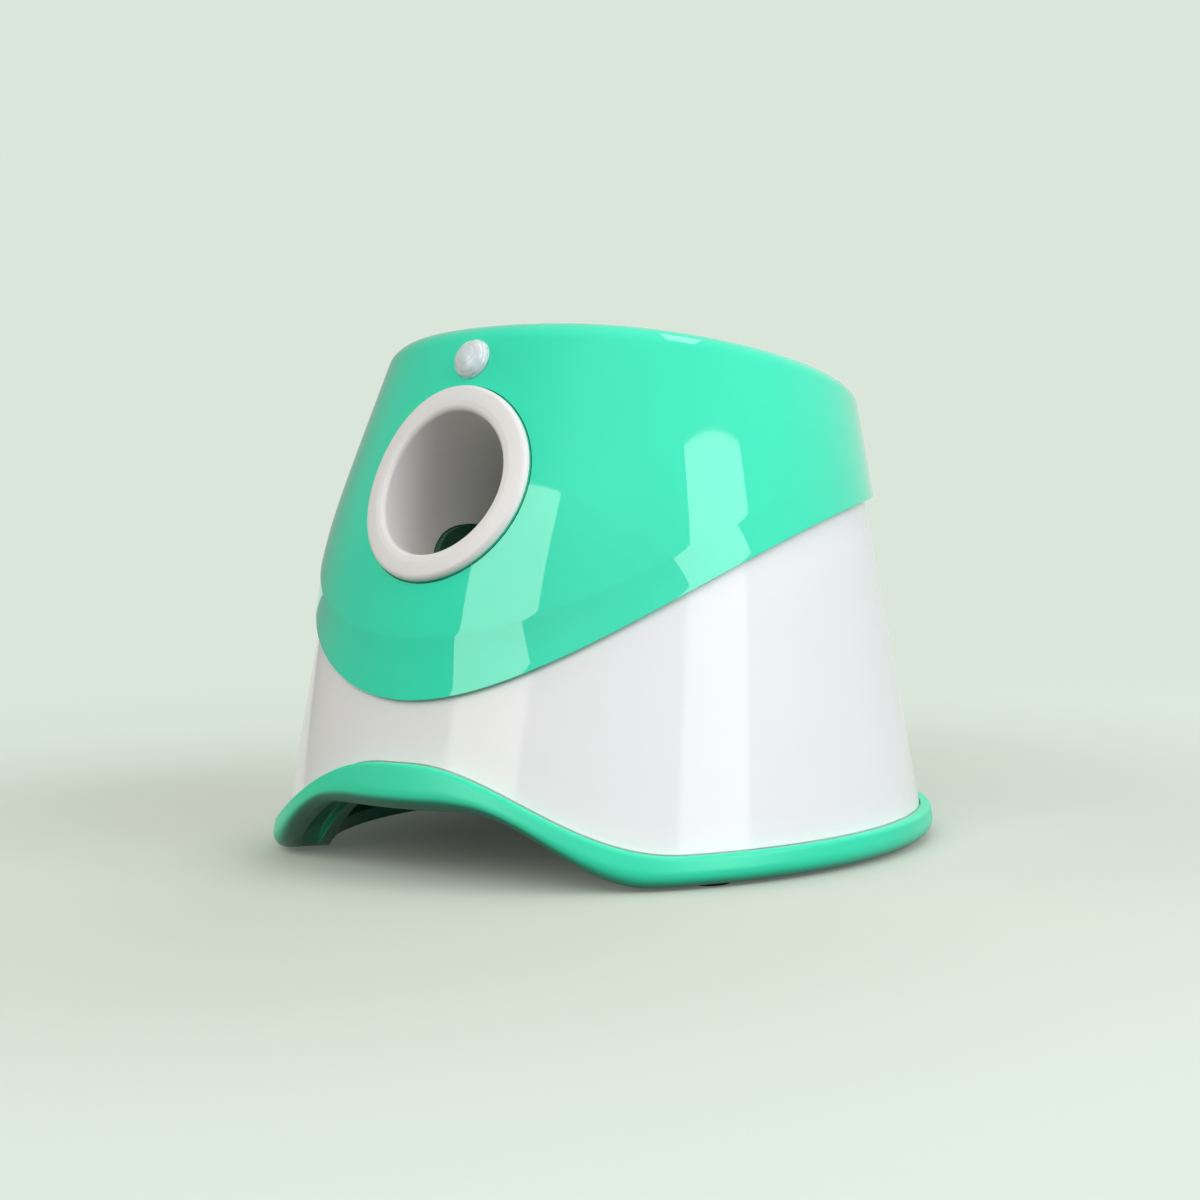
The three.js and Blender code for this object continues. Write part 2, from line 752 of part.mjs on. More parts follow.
function addGears() {
  const half = gearFace / 2;
  const bore = axleRadius + seatGap;
  const sectorPitch = fullTurn / sectorCount;
  const lastTooth = Math.PI + sectorPitch * lastToothShare;
  const firstTooth = lastTooth - sectorPitch * (sectorTeeth - 1);
  const sector = gear(gearOutline(rackModule, sectorCount, sectorTeeth, firstTooth), bore, -half, half);
  const hub = tube(hubRadius, bore, half - overrun, wheelStart - seatGap, smallSides);
  add("sector_gear", join(sector, hub), acetalCream, gears);

  const wheelTooth = Math.PI / 2;
  const wheel = gear(gearOutline(spurModule, wheelCount, wheelCount, wheelTooth), bore, wheelStart, wheelEnd);
  add("drive_wheel", wheel, nylonWhite, gears);
  const axleTop = upperPlate - plateThick - seatGap;
  add("gear_axle", rod(axleRadius, axleTop, lowerPlate + plateThick, midSides), platedSteel, gears);

  const motorFrame = frameOf(gears, (frame) => frame.position.set(0, pinionReach, 0));
  const pinionPitch = fullTurn / pinionCount;
  const pinionTooth = -Math.PI / 2 + pinionPitch / 2;
  const outline = gearOutline(spurModule, pinionCount, pinionCount, pinionTooth);
  const pinion = gear(outline, motorShaft + seatGap, wheelStart, wheelEnd + gearStep / 2);
  add("motor_pinion", pinion, platedSteel, motorFrame);
  const motorTop = lowerPlate + plateThick + seatGap;
  const shaftDepth = motorTop + hubRadius;
  add("motor_shaft", rod(motorShaft, wheelStart, shaftDepth), springSteel, motorFrame);
  const can = turned([
    [motorShaft + seatGap, motorTop],
    [motorRadius, motorTop],
    [motorRadius, motorTop + motorLength],
    [0, motorTop + motorLength],
    [0, shaftDepth + seatGap],
    [motorShaft + seatGap, shaftDepth + seatGap],
    [motorShaft + seatGap, motorTop],
  ]);
  add("motor", can, platedSteel, motorFrame);
}

// Gearbox plates on three pillars
function addGearbox() {
  const inner = barrelOuter + rackClear / 2 - gearSide;
  const pillarX = plateOuter - pillarInset;
  const rackTip = rackPitchLine + addendumShare * rackModule;
  const pillars = [
    [rackTip + slideGap + pillarRadius - gearSide, pillarInset - plateRear],
    [pillarX, plateFront - pillarInset],
    [-hubRadius * 2, plateFront - pillarInset],
  ];
  const axleHole = (z0, z1) => rod(axleRadius + seatGap, z0, z1);
  const screwHoles = (z0, z1) => pillars.map(([x, y]) => rod(screwRadius + seatGap, z0, z1, smallSides, x, y));
  const lowerEnd = lowerPlate + plateThick;
  const shaftHole = rod(pinionRadius / 2, lowerPlate - overrun, lowerEnd + overrun, smallSides, 0, pinionReach);
  const lower = cut(
    block(inner, plateOuter, -plateRear, plateFront, lowerPlate, lowerEnd),
    axleHole(lowerPlate - overrun, lowerEnd + overrun),
    shaftHole,
  );
  add("gear_plate_lower", lower, greyPlastic, gears);
  const upperEnd = upperPlate - plateThick;
  const upper = cut(
    block(inner, plateOuter, -plateRear, plateFront, upperEnd, upperPlate),
    axleHole(upperEnd - overrun, upperPlate + overrun),
    ...screwHoles(upperEnd - overrun, upperPlate + overrun),
  );
  add("gear_plate_upper", upper, greyPlastic, gears);
  pillars.forEach(([x, y], i) => {
    const pillar = cut(
      rod(pillarRadius, upperPlate + seatGap, lowerPlate - seatGap, smallSides, x, y),
      rod(screwRadius + seatGap, upperPlate - overrun, lowerPlate / 2, smallSides, x, y),
    );
    add(`gearbox_pillar_${i + 1}`, pillar, greyPlastic, gears);
    const screw = join(
      rod(screwRadius, upperEnd - screwHeadHeight, upperPlate + hubRadius, smallSides, x, y),
      rod(screwHeadRadius, upperEnd - seatGap - screwHeadHeight, upperEnd - seatGap, smallSides, x, y),
    );
    add(`gearbox_screw_${i + 1}`, screw, platedSteel, gears);
  });
}

// Ribs that stand on the pan and carry the barrel, the gearbox and the motor
function addCradle() {
  const clearBarrel = rod(barrelOuter + seatGap, barrelStart, barrelEnd, roundSides);
  const belowPan = seen(block(-ribReach, ribReach, -ribReach, ribReach, -ribReach, seatGap), pan, launch);
  const step = lowerPlate + plateThick + seatGap;
  const gearboxInner = barrelOuter + rackClear / 2 - seatGap;
  const rib = (station, outer) => cut(
    block(-ribSide, outer, armHalf + slideGap, ribReach, station - ribThick / 2, station + ribThick / 2),
    block(gearboxInner, outer + overrun, -overrun, step, station - ribThick, station + ribThick),
    clearBarrel,
    belowPan,
  );
  add("cradle_front", rib(pocketDepth - frontRibAhead, frontRibOuter), greyPlastic, launch);
  add("cradle_rear", rib(pocketDepth + rearRibBehind, rearRibOuter), greyPlastic, launch);
}

// Hopper bowl from the rolled rim down to the throat, and the throat tube on the barrel
function drainPoint(angle, radius, level) {
  const local = new THREE.Vector3(radius * Math.sin(angle), -level, pocketDepth - radius * Math.cos(angle));
  return local.applyMatrix4(launch.matrixWorld);
}

function addHopper() {
  const shares = stations(0, 1, 5).slice(1, -1);
  const bowl = caseRing((angle) => {
    const top = heightOn(rimPlane, angle, shellProud, rimHeight) - rimLipDepth - seatGap;
    const rimOuter = casePoint(angle, top, -bowlFlange);
    const rimInner = casePoint(angle, top, shellProud - rimLipWidth - bowlFlange);
    const between = (rim, drain, share) => {
      const fall = 1 - (1 - share) ** bowlPower;
      const point = rim.clone().lerp(drain, share);
      point.z = rim.z + (drain.z - rim.z) * fall;
      return point;
    };
    const down = new THREE.Vector3(0, 0, -bowlWall);
    const drain = drainPoint(angle, throatBore, throatTop);
    const underDrain = drainPoint(angle, throatBore, throatTop - bowlWall);
    return [
      rimOuter,
      rimInner,
      ...shares.map((share) => between(rimInner, drain, share)),
      drain,
      underDrain,
      ...shares.toReversed().map((share) => between(rimInner, drain, share).add(down)),
      rimInner.clone().add(down),
      rimOuter.clone().add(down),
    ];
  });
  add("hopper_bowl", bowl, whiteGloss);
  const level = throatTop - bowlWall - throatDrop;
  const pipe = tube(throatOuter, throatBore, armHalf + slideGap, level);
  pipe.rotateX(Math.PI / 2).translate(0, 0, pocketDepth);
  const clearBarrel = rod(barrelOuter + seatGap, barrelStart, barrelEnd, roundSides);
  add("hopper_throat", cut(pipe, clearBarrel), whiteGloss, launch);
}

// Bottom pan with the battery opening and screw holes
const batteryHalfWidth = (cellPitch * (cellColumns - 1)) / 2 + cellRadius + contactGap;
const batteryHalfLength = (cellLength * cellRows) / 2 + terminalHeight * cellRows + contactThick + contactGap * 2;

function addPan() {
  const inset = -bodyWall - seatGap;
  const rise = panThick / Math.cos(panTilt);
  const angles = Array.from({ length: caseSides }, (_, i) => (fullTurn * i) / caseSides);
  const sheet = (lift) => angles.map((angle) => {
    const z = heightOn((y) => panPlane(y) + lift, angle, inset, panFrontHeight);
    return casePoint(angle, z, inset);
  });
  const lower = sheet(0);
  const upper = sheet(rise);
  const centre = (lift) => new THREE.Vector3(0, 0, panPlane(0) + lift);
  const loops = angles.map((_, i) => [centre(0), lower[i], upper[i], centre(rise)]);
  const opening = block(
    batterySide - batteryHalfWidth,
    batterySide + batteryHalfWidth,
    batteryBack - batteryHalfLength,
    batteryBack + batteryHalfLength,
    -overrun,
    overrun,
  );
  const holes = bossAngles.map((degrees) => {
    const place = bossPlace(degrees);
    return rod(screwRadius + seatGap, place.z - 2 * overrun, place.z + overrun, smallSides, place.x, place.y);
  });
  add("bottom_pan", cut(loft(loops), moved(opening, pan), ...holes), darkGreen);
  bossAngles.forEach((degrees, i) => {
    const place = bossPlace(degrees);
    const underPan = panPlane(place.y + screwHeadRadius) - slideGap;
    const screw = join(
      rod(screwRadius, underPan - screwHeadHeight, place.z + bossHeight / 2, smallSides, place.x, place.y),
      rod(screwHeadRadius, underPan - screwHeadHeight, underPan, smallSides, place.x, place.y),
    );
    add(`pan_screw_${i + 1}`, screw, platedSteel);
  });
}

// Battery box, cells, contacts and door
function addBatteries() {
  const bay = frameOf(pan, (frame) => frame.position.set(batterySide, batteryBack, 0));
  const inside = 2 * cellRadius + contactGap * 2;
  const roomX = batteryHalfWidth + seatGap;
  const roomY = batteryHalfLength + seatGap;
  const outerX = roomX + batteryWall;
  const outerY = roomY + batteryWall;
  const box = cut(
    block(-outerX, outerX, -outerY, outerY, seatGap, inside + batteryWall),
    block(-roomX, roomX, -roomY, roomY, -overrun, inside),
  );
  add("battery_box", box, greyPlastic, bay);
  const doorX = batteryHalfWidth - slideGap;
  const doorY = batteryHalfLength - slideGap;
  add("battery_door", block(-doorX, doorX, -doorY, doorY, -panThick, 0), darkGreen, bay);
  const contactTall = cellRadius + cellRadius / 2;
  for (const [name, side] of [["battery_contact_front", -1], ["battery_contact_rear", 1]]) {
    const outer = side * (roomY - seatGap);
    const near = Math.min(outer, outer - side * contactThick);
    const plate = block(-doorX, doorX, near, near + contactThick, cellRadius / 2, contactTall);
    add(name, plate, springSteel, bay);
  }
  let number = 1;
  for (let column = 0; column < cellColumns; column += 1) {
    for (let row = 0; row < cellRows; row += 1) {
      const x = (column - (cellColumns - 1) / 2) * cellPitch;
      const flip = column % 2 === 0 ? 1 : -1;
      const pitch = cellLength + terminalHeight + contactGap / 2;
      const y = (row - (cellRows - 1) / 2) * pitch;
      const end = cellLength / 2;
      const cell = join(
        rod(cellRadius, -end, end, midSides),
        rod(terminalRadius, 0, end + terminalHeight, smallSides),
      );
      cell.rotateX((flip * Math.PI) / 2).translate(x, y + (flip * terminalHeight) / 2, cellRadius + seatGap);
      add(`battery_cell_${number}`, cell, cellSleeve, bay);
      number += 1;
    }
  }
}

// Control panel with two buttons, three lights and the power inlet, and the board behind it
function addPanel() {
  const half = panelWidth / 2;
  const sagAt = (reach) => halfWidth(panelHeight) - Math.sqrt(halfWidth(panelHeight) ** 2 - reach ** 2);
  const face = -sagAt(half) - panelRecess;
  const flangeFront = -bodyWall - sagAt(half + panelLip) - slideGap * 2;
  const flangeBack = flangeFront - panelThick;
  const fit = half - seatGap;
  const tall = panelTall / 2;
  const boardFront = flangeBack - boardDepth;
  const post = (x, y) => rod(postRadius, boardFront + seatGap, flangeBack + panelThick / 2, smallSides, x, y);
  const controlY = tall - buttonRadius - panelLip;
  const jackY = -tall + jackRadius + panelLip / 2;
  const buttons = [["power_button", -buttonSpacing], ["range_button", 0]];
  const lights = [-1, 0, 1].map((place) => [place * ledSpacing - buttonSpacing / 2, jackY]);
  const through = (radius, x, y) => rod(radius + seatGap, flangeBack - overrun, overrun, smallSides, x, y);
  const jackX = buttonSpacing;
  const plate = cut(
    join(
      block(-fit, fit, seatGap - tall, tall - seatGap, flangeBack, face),
      block(-half - panelLip, half + panelLip, -tall - panelLip, tall + panelLip, flangeBack, flangeFront),
      post(-half, 0),
      post(half, 0),
    ),
    ...buttons.map(([, x]) => through(buttonRadius, x, controlY)),
    ...lights.map(([x, y]) => through(ledRadius, x, y)),
    through(jackRadius, jackX, jackY),
  );
  add("control_panel", plate, blackPlastic, panel);
  const collarTop = flangeBack - seatGap;
  const switchTop = collarTop - collarThick - buttonTravel - seatGap;
  const boardBack = boardFront - boardThick;
  for (const [name, x] of buttons) {
    const cap = join(
      rod(buttonRadius, collarTop - collarThick, face + buttonProud, midSides, x, controlY),
      rod(buttonRadius + buttonCollar, collarTop - collarThick, collarTop, midSides, x, controlY),
    );
    add(name, cap, mintGloss, panel);
    const side = switchSide / 2;
    const body = block(x - side, x + side, controlY - side, controlY + side, boardFront + seatGap, switchTop);
    add(`${name}_switch`, body, blackPlastic, panel);
  }
  lights.forEach(([x, y], i) => {
    add(`range_light_${i + 1}`, rod(ledRadius, boardFront + seatGap, face, smallSides, x, y), ledGlow, panel);
  });
  const jack = join(
    turned([
      [jackBore, boardFront + seatGap + jackPin],
      [jackBore, face],
      [jackRadius, face],
      [jackRadius, boardFront + seatGap],
      [0, boardFront + seatGap],
      [0, boardFront + seatGap + jackPin],
      [jackBore, boardFront + seatGap + jackPin],
    ]),
    rod(jackPin, boardFront + seatGap, face - jackPin),
  ).translate(jackX, jackY, 0);
  add("power_inlet", jack, blackPlastic, panel);
  const board = block(-half - panelLip, half + panelLip, -tall - panelLip, tall, boardBack, boardFront);
  add("main_board", board, boardGreen, panel);
  const buzzerTop = boardBack - seatGap;
  const buzzer = rod(buzzerRadius, buzzerTop - buzzerHeight, buzzerTop, midSides);
  add("buzzer", buzzer, blackPlastic, panel);
}

// Motion sensor: a domed lens in the shell, the sensor can in its stem and a small board
function addSensor() {
  const stemEnd = -shellProud - overrun / 2;
  const bends = stations(0, Math.PI / 2, 4);
  const cavity = lensStem - lensStemWall;
  const lift = seatGap + seatGap / 2;
  const dome = turned([
    [cavity, stemEnd],
    [lensStem, stemEnd],
    [lensStem, lift],
    ...bends.slice(0, -1).map((bend) => [lensRadius * Math.cos(bend), lift + lensHeight * Math.sin(bend)]),
    [0, lift + lensHeight],
    [0, lift + lensStemWall],
    [cavity, lift],
    [cavity, stemEnd],
  ], midSides);
  add("sensor_lens", dome, lensWhite, sensor);
  const boardFront = stemEnd - seatGap;
  const canStart = boardFront + seatGap;
  add("sensor_can", rod(sensorCanRadius, canStart, canStart + sensorCanLength), platedSteel, sensor);
  const back = boardFront - sensorBoardThick;
  add("sensor_board", rod(sensorBoardRadius, back, boardFront), boardGreen, sensor);
}

addTopShell();
addLowerBody();
addFootRing();
addMuzzle();
addBarrel();
addStriker();
addGears();
addGearbox();
addCradle();
addHopper();
addPan();
addBatteries();
addPanel();
addSensor();

// The origin lies on the floor under the middle of the whole part
root.position.y = -new THREE.Box3().setFromObject(root).getCenter(new THREE.Vector3()).y;
root.updateMatrixWorld(true);

export default root;
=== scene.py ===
import json
import math

import bmesh
import bpy
import numpy as np
from mathutils import Matrix, Vector


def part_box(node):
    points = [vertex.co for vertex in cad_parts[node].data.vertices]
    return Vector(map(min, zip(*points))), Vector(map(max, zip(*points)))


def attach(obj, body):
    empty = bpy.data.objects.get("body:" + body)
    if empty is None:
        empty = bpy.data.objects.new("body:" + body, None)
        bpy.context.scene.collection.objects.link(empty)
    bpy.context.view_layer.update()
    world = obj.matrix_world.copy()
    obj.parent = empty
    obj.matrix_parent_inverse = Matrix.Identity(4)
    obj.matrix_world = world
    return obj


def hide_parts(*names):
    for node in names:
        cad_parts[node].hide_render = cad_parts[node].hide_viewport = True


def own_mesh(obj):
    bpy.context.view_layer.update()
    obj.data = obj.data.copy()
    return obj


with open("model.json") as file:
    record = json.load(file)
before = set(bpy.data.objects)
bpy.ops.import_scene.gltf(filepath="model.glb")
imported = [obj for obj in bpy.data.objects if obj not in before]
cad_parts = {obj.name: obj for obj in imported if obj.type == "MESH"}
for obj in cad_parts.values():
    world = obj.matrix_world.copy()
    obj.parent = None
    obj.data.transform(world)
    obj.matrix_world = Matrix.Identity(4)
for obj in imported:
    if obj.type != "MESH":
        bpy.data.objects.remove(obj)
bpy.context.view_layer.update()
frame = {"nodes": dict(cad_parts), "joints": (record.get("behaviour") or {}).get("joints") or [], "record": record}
mm = 0.001
fullTurn = 2 * math.pi

# The round case wall, the same rule as the solids: half width, half depth, shift and front flat by height,
# and the plane that the case's floor lies in
case = {
    "floorHalfWidth": 138 * mm, "floorHalfDepth": 134.5 * mm,
    "kneeHeight": 131 * mm, "kneeHalfWidth": 119 * mm, "kneeHalfDepth": 104.3 * mm,
    "kneeShift": 4 * mm, "kneeFlat": 3 * mm, "kneeBlend": 10 * mm,
    "rimHeight": 201 * mm, "rimHalfWidth": 96.2 * mm, "rimHalfDepth": 94 * mm,
    "rimShift": 20.8 * mm, "rimFlat": 7.5 * mm, "rimTilt": 12.9, "flatPower": 4,
    "originShift": -4.6713 * mm, "proud": 4.2 * mm, "wall": 2.6 * mm, "lapGap": 0.4 * mm,
    "seatGap": 0.3 * mm, "panHeight": 52 * mm, "panFall": 40 * mm,
}


def along(low, knee, rim, z):
    lower = (knee - low) / case["kneeHeight"]
    upper = (rim - knee) / (case["rimHeight"] - case["kneeHeight"])
    blend = case["kneeBlend"]
    return low + lower * z + (upper - lower) * blend * np.logaddexp(0, (z - case["kneeHeight"]) / blend)


def wallPoint(angle, z, offset):
    angle, z, offset = np.broadcast_arrays(np.asarray(angle, float), z, offset)
    facing = np.cos(angle)
    width = along(case["floorHalfWidth"], case["kneeHalfWidth"], case["rimHalfWidth"], z)
    depth = along(case["floorHalfDepth"], case["kneeHalfDepth"], case["rimHalfDepth"], z)
    pressed = along(0, case["kneeFlat"], case["rimFlat"], z) * np.maximum(facing, 0) ** case["flatPower"]
    middle = along(0, case["kneeShift"], case["rimShift"], z) + case["originShift"]
    return np.stack([(width + offset) * np.sin(angle), middle - (depth + offset) * facing + pressed, z], -1)


def heightOn(surface, angle, offset, start):
    z = np.full(np.shape(angle), float(start))
    for turn in range(28):
        z = (z + surface(wallPoint(angle, z, offset)[..., 1] - case["originShift"])) / 2
    return z


def rimPlane(y):
    return case["rimHeight"] - math.tan(math.radians(case["rimTilt"])) * y


def panPlane(y):
    depth = case["floorHalfDepth"]
    return case["panHeight"] - case["panFall"] * (y + depth) / (2 * depth)


edge = {"front": 70 * mm, "back": 141.5 * mm, "run": 203 * mm, "power": 2.55}


def edgeCurve(y):
    start = wallPoint(0, edge["front"], case["proud"])[1] - case["originShift"]
    share = np.clip((y - start) / edge["run"], 0, 1)
    return edge["back"] - (edge["back"] - edge["front"]) * (1 - share) ** edge["power"]


# Plain tools for meshes
def linked(name, mesh):
    piece = bpy.data.objects.new(name, mesh)
    bpy.context.scene.collection.objects.link(piece)
    return piece


def meshObject(name, points, faces):
    mesh = bpy.data.meshes.new(name)
    mesh.from_pydata([tuple(p) for p in points], [], [tuple(f) for f in faces])
    return smooth(linked(name, mesh))


def smooth(piece, sharp=30):
    mesh = piece.data
    mesh.polygons.foreach_set("use_smooth", [True] * len(mesh.polygons))
    mesh.set_sharp_from_angle(angle=math.radians(sharp))
    mesh.update()
    return piece


def tidyNormals(piece, sharp=30):
    made = bmesh.new()
    made.from_mesh(piece.data)
    bmesh.ops.remove_doubles(made, verts=made.verts, dist=1e-6)
    bmesh.ops.recalc_face_normals(made, faces=made.faces)
    made.to_mesh(piece.data)
    made.free()
    return smooth(piece, sharp)


def ringSurface(name, loops, sharp=30, closed=True):
    loops = np.asarray(loops)  # stations round the piece, then the points of each section
    around, count = loops.shape[:2]
    a, b = np.meshgrid(np.arange(around), np.arange(count if closed else count - 1), indexing="ij")
    nextA, nextB = (a + 1) % around, (b + 1) % count
    faces = np.stack([a * count + b, nextA * count + b, nextA * count + nextB, a * count + nextB], -1)
    return tidyNormals(meshObject(name, loops.reshape(-1, 3), faces.reshape(-1, 4)), sharp)


def softened(corners, steps=5, closed=False):
    out = []  # each corner is x, y and how far back from it the rounding starts
    for i, (x, y, rounding) in enumerate(corners):
        here = Vector((x, y))
        if rounding <= 0 or (not closed and i in (0, len(corners) - 1)):
            out.append((x, y))
            continue
        before = Vector(corners[i - 1][:2]) - here
        after = Vector(corners[(i + 1) % len(corners)][:2]) - here
        size = min(rounding, before.length * 0.49, after.length * 0.49)
        start, end = here + before.normalized() * size, here + after.normalized() * size
        for step in range(steps + 1):
            t = step / steps
            out.append(tuple(start * (1 - t) ** 2 + here * 2 * t * (1 - t) + end * t ** 2))
    return out


def turned(name, profile, sides, place=None, sharp=30):
    out, up = np.asarray(profile, float).T
    angles = np.linspace(0, fullTurn, sides, endpoint=False)[:, None]
    loops = np.stack([out * np.cos(angles), out * np.sin(angles), up + 0 * angles], -1)
    return put(ringSurface(name, loops, sharp, closed=False), place)


def put(piece, place):
    if place is not None:
        piece.data.transform(place)
        piece.data.update()
    return piece


def block(name, low, high, place):
    points = [(x, y, z) for x in (low[0], high[0]) for y in (low[1], high[1]) for z in (low[2], high[2])]
    faces = [(0, 1, 3, 2), (4, 6, 7, 5), (0, 4, 5, 1), (2, 3, 7, 6), (0, 2, 6, 4), (1, 5, 7, 3)]
    return put(tidyNormals(meshObject(name, points, faces)), place)


def quarter(steps, start=0):
    return [step / steps * math.pi / 2 for step in range(start, steps + 1)]


# The points of a rounded edge, from its side face up onto its top face
def arc(out, up, across, rise, bends):
    return [(out - across * (1 - math.cos(bend)), up - rise * (1 - math.sin(bend))) for bend in bends]


# A plate with round corners, its upper edge rounded too
def slab(name, halfX, halfY, corner, z0, z1, edgeRound, place=None, sides=8):
    outline = []
    for turn, signX, signY in ((0, 1, 1), (1, -1, 1), (2, -1, -1), (3, 1, -1)):
        for step in range(sides + 1):
            angle = (turn + step / sides) * math.pi / 2
            x = (halfX - corner) * signX + corner * math.cos(angle)
            y = (halfY - corner) * signY + corner * math.sin(angle)
            outline.append((x, y, math.cos(angle), math.sin(angle)))
    levels = [(0, z0), *arc(0, z1, -edgeRound, edgeRound, quarter(4))]
    levels.append((edgeRound * 1.2 + 0.02 * mm, z1))  # keeps the large face flat in shading
    loops = [[(x - inset * nx, y - inset * ny, z) for inset, z in levels] for x, y, nx, ny in outline]
    piece = ringSurface(name, loops, 35, closed=False)
    made = bmesh.new()
    made.from_mesh(piece.data)
    bmesh.ops.holes_fill(made, edges=made.edges)
    made.to_mesh(piece.data)
    made.free()
    return put(tidyNormals(piece, 35), place)


def evaluated(piece):
    mesh = bpy.data.meshes.new_from_object(piece.evaluated_get(bpy.context.evaluated_depsgraph_get()))
    piece.modifiers.clear()
    old, piece.data = piece.data, mesh
    mesh.name = old.name
    bpy.data.meshes.remove(old)
    return piece


def carve(piece, tools, operation="DIFFERENCE", sharp=30):
    for tool in tools:
        cutter = piece.modifiers.new("cut", "BOOLEAN")
        cutter.operation, cutter.solver, cutter.object = operation, "EXACT", tool
    evaluated(piece)
    for tool in tools:
        bpy.data.objects.remove(tool)
    return smooth(piece, sharp)


def joined(name, pieces):
    made = bmesh.new()
    for piece in pieces:
        made.from_mesh(piece.data)
        bpy.data.objects.remove(piece)
    mesh = bpy.data.meshes.new(name)
    made.to_mesh(mesh)
    made.free()
    return smooth(linked(name, mesh), 40)


# Node maths: a socket that takes + - * / and leaves Math nodes behind
class Value:
    def __init__(self, tree, socket):
        self.tree, self.socket = tree, socket

    def math(self, operation, other=None, swap=False):
        node = self.tree.nodes.new("ShaderNodeMath")
        node.operation = operation
        terms = [self] if other is None else ([other, self] if swap else [self, other])
        for slot, term in zip(node.inputs, terms):
            if isinstance(term, Value):
                self.tree.links.new(term.socket, slot)
            else:
                slot.default_value = term
        return Value(self.tree, node.outputs[0])

    def __add__(self, other):
        return self.math("ADD", other)

    def __sub__(self, other):
        return self.math("SUBTRACT", other)

    def __rsub__(self, other):
        return self.math("SUBTRACT", other, True)

    def __mul__(self, other):
        return self.math("MULTIPLY", other)

    def __truediv__(self, other):
        return self.math("DIVIDE", other)

    __radd__, __rmul__ = __add__, __mul__


class NodeWork:
    def __init__(self, tree):
        self.tree = tree

    def node(self, kind, settings=None, inputs=None, output=0):
        node = self.tree.nodes.new(kind)
        for key, value in (settings or {}).items():
            setattr(node, key, value)
        for key, value in (inputs or {}).items():
            for one in value if isinstance(value, list) else [value]:
                if isinstance(one, Value):
                    self.tree.links.new(one.socket, node.inputs[key])
                else:
                    node.inputs[key].default_value = one
        return Value(self.tree, node.outputs[output])

    def across(self, operation, first, second=None, output=0):
        inputs = {0: first} if second is None else {0: first, 1: second}
        return self.node("ShaderNodeVectorMath", {"operation": operation}, inputs, output)

    def asks(self, ray):
        return self.node("ShaderNodeLightPath", output=f"Is {ray} Ray")

    def between(self, mask, low, high):
        return self.node("ShaderNodeMapRange", {"interpolation_type": "SMOOTHSTEP"}, {
            "Value": mask, "From Min": low, "From Max": high,
        })

    def mix(self, mask, first, second):
        full = [one if isinstance(one, Value) else (*one, 1) for one in (first, second)]
        return self.node("ShaderNodeMix", {"data_type": "RGBA"}, {0: mask, 6: full[0], 7: full[1]}, 2)


class Finish(NodeWork):
    def __init__(self, name, colour, roughness, **sockets):
        self.material = bpy.data.materials.new(name)
        self.material.use_nodes = True
        super().__init__(self.material.node_tree)
        self.shader = self.tree.nodes["Principled BSDF"]
        self.shader.inputs["Base Color"].default_value = (*colour, 1)
        self.shader.inputs["Roughness"].default_value = roughness
        for socket, value in sockets.items():
            self.shader.inputs[socket.replace("_", " ")].default_value = value
        self.place = self.node("ShaderNodeTexCoord", output="Object")

    def noise(self, scale, detail=2, roughness=0.5, stretch=None):
        place = self.place
        if stretch:
            place = self.node("ShaderNodeMapping", inputs={"Vector": place, "Scale": stretch})
        return self.node("ShaderNodeTexNoise", inputs={
            "Vector": place, "Scale": scale, "Detail": detail, "Roughness": roughness,
        }, output="Fac")

    def feed(self, socket, value):
        self.tree.links.new(value.socket, self.shader.inputs[socket])

    def cloudy(self, colour, drift, scale):
        cloud = self.between(self.noise(scale, 3), 0.3, 0.7)
        return self.mix(cloud, shade(colour, 1 - drift), shade(colour, 1 + drift))

    def bump(self, height, distance, strength=1.0):
        inputs = {"Height": height, "Distance": distance, "Strength": strength}
        self.feed("Normal", self.node("ShaderNodeBump", inputs=inputs))

    def look(self, colour, roughness, *relief):
        self.feed("Base Color", colour)
        self.feed("Roughness", roughness)
        if relief:
            self.bump(*relief)
        return self.material


def shade(colour, factor):
    return tuple(min(c * factor, 1) for c in colour)


def glossPlastic(name, colour, roughness, coat, specular, drift=0.03, joint=None):
    finish = Finish(name, colour, roughness, Coat_Weight=coat, Coat_Roughness=0.03,
                    Specular_IOR_Level=specular)
    base = finish.cloudy(colour, drift, 14)
    if joint:  # painted shadow: a dark hairline round a fitted part, at one radius from its axis, standing in for the shade in the gap
        middle, axis, radius = joint
        away = finish.across("CROSS_PRODUCT", finish.across("SUBTRACT", finish.place, middle), axis)
        reach = finish.across("LENGTH", away, output=1)
        line = finish.between((reach - radius).math("ABSOLUTE"), 0.12 * mm, 0.32 * mm)
        base = finish.mix(line, shade(colour, 0.06), base)
    haze = finish.between(finish.noise(45, 4, 0.6), 0.35, 0.75)
    specks = finish.between(finish.noise(900, 1), 0.62, 0.72)
    skin = finish.noise(260, 2) * 0.6 + finish.noise(90, 1) * 0.4  # the faint orange peel of a moulded face
    return finish.look(base, roughness + haze * 0.02 + specks * 0.05, skin, 0.00001)


def satinPlastic(name, colour, roughness, grain=1500, depth=0.00002, drift=0.05, under=None):
    finish = Finish(name, colour, roughness, Specular_IOR_Level=0.45)
    base = finish.cloudy(colour, drift, 22)
    if under:  # painted shade: faces that look down are darkened by the underside attribute, down to shade(colour, under)
        down = finish.node("ShaderNodeAttribute", {"attribute_name": "underside"}, output="Fac")
        base = finish.mix(finish.between(down, 0.1, 1), base, shade(colour, under))
    fine = finish.noise(grain, 2, 0.6)
    return finish.look(base, roughness + (fine - 0.5) * 0.12, fine, depth, 0.8)


def rubber(name, colour):
    finish = Finish(name, colour, 0.85, Specular_IOR_Level=0.3)
    dust = finish.between(finish.noise(60, 5, 0.65), 0.5, 0.8)
    base = finish.mix(dust, colour, shade(colour, 2.2))
    return finish.look(base, 0.8 + dust * 0.12, finish.noise(1800, 2), 0.00004)


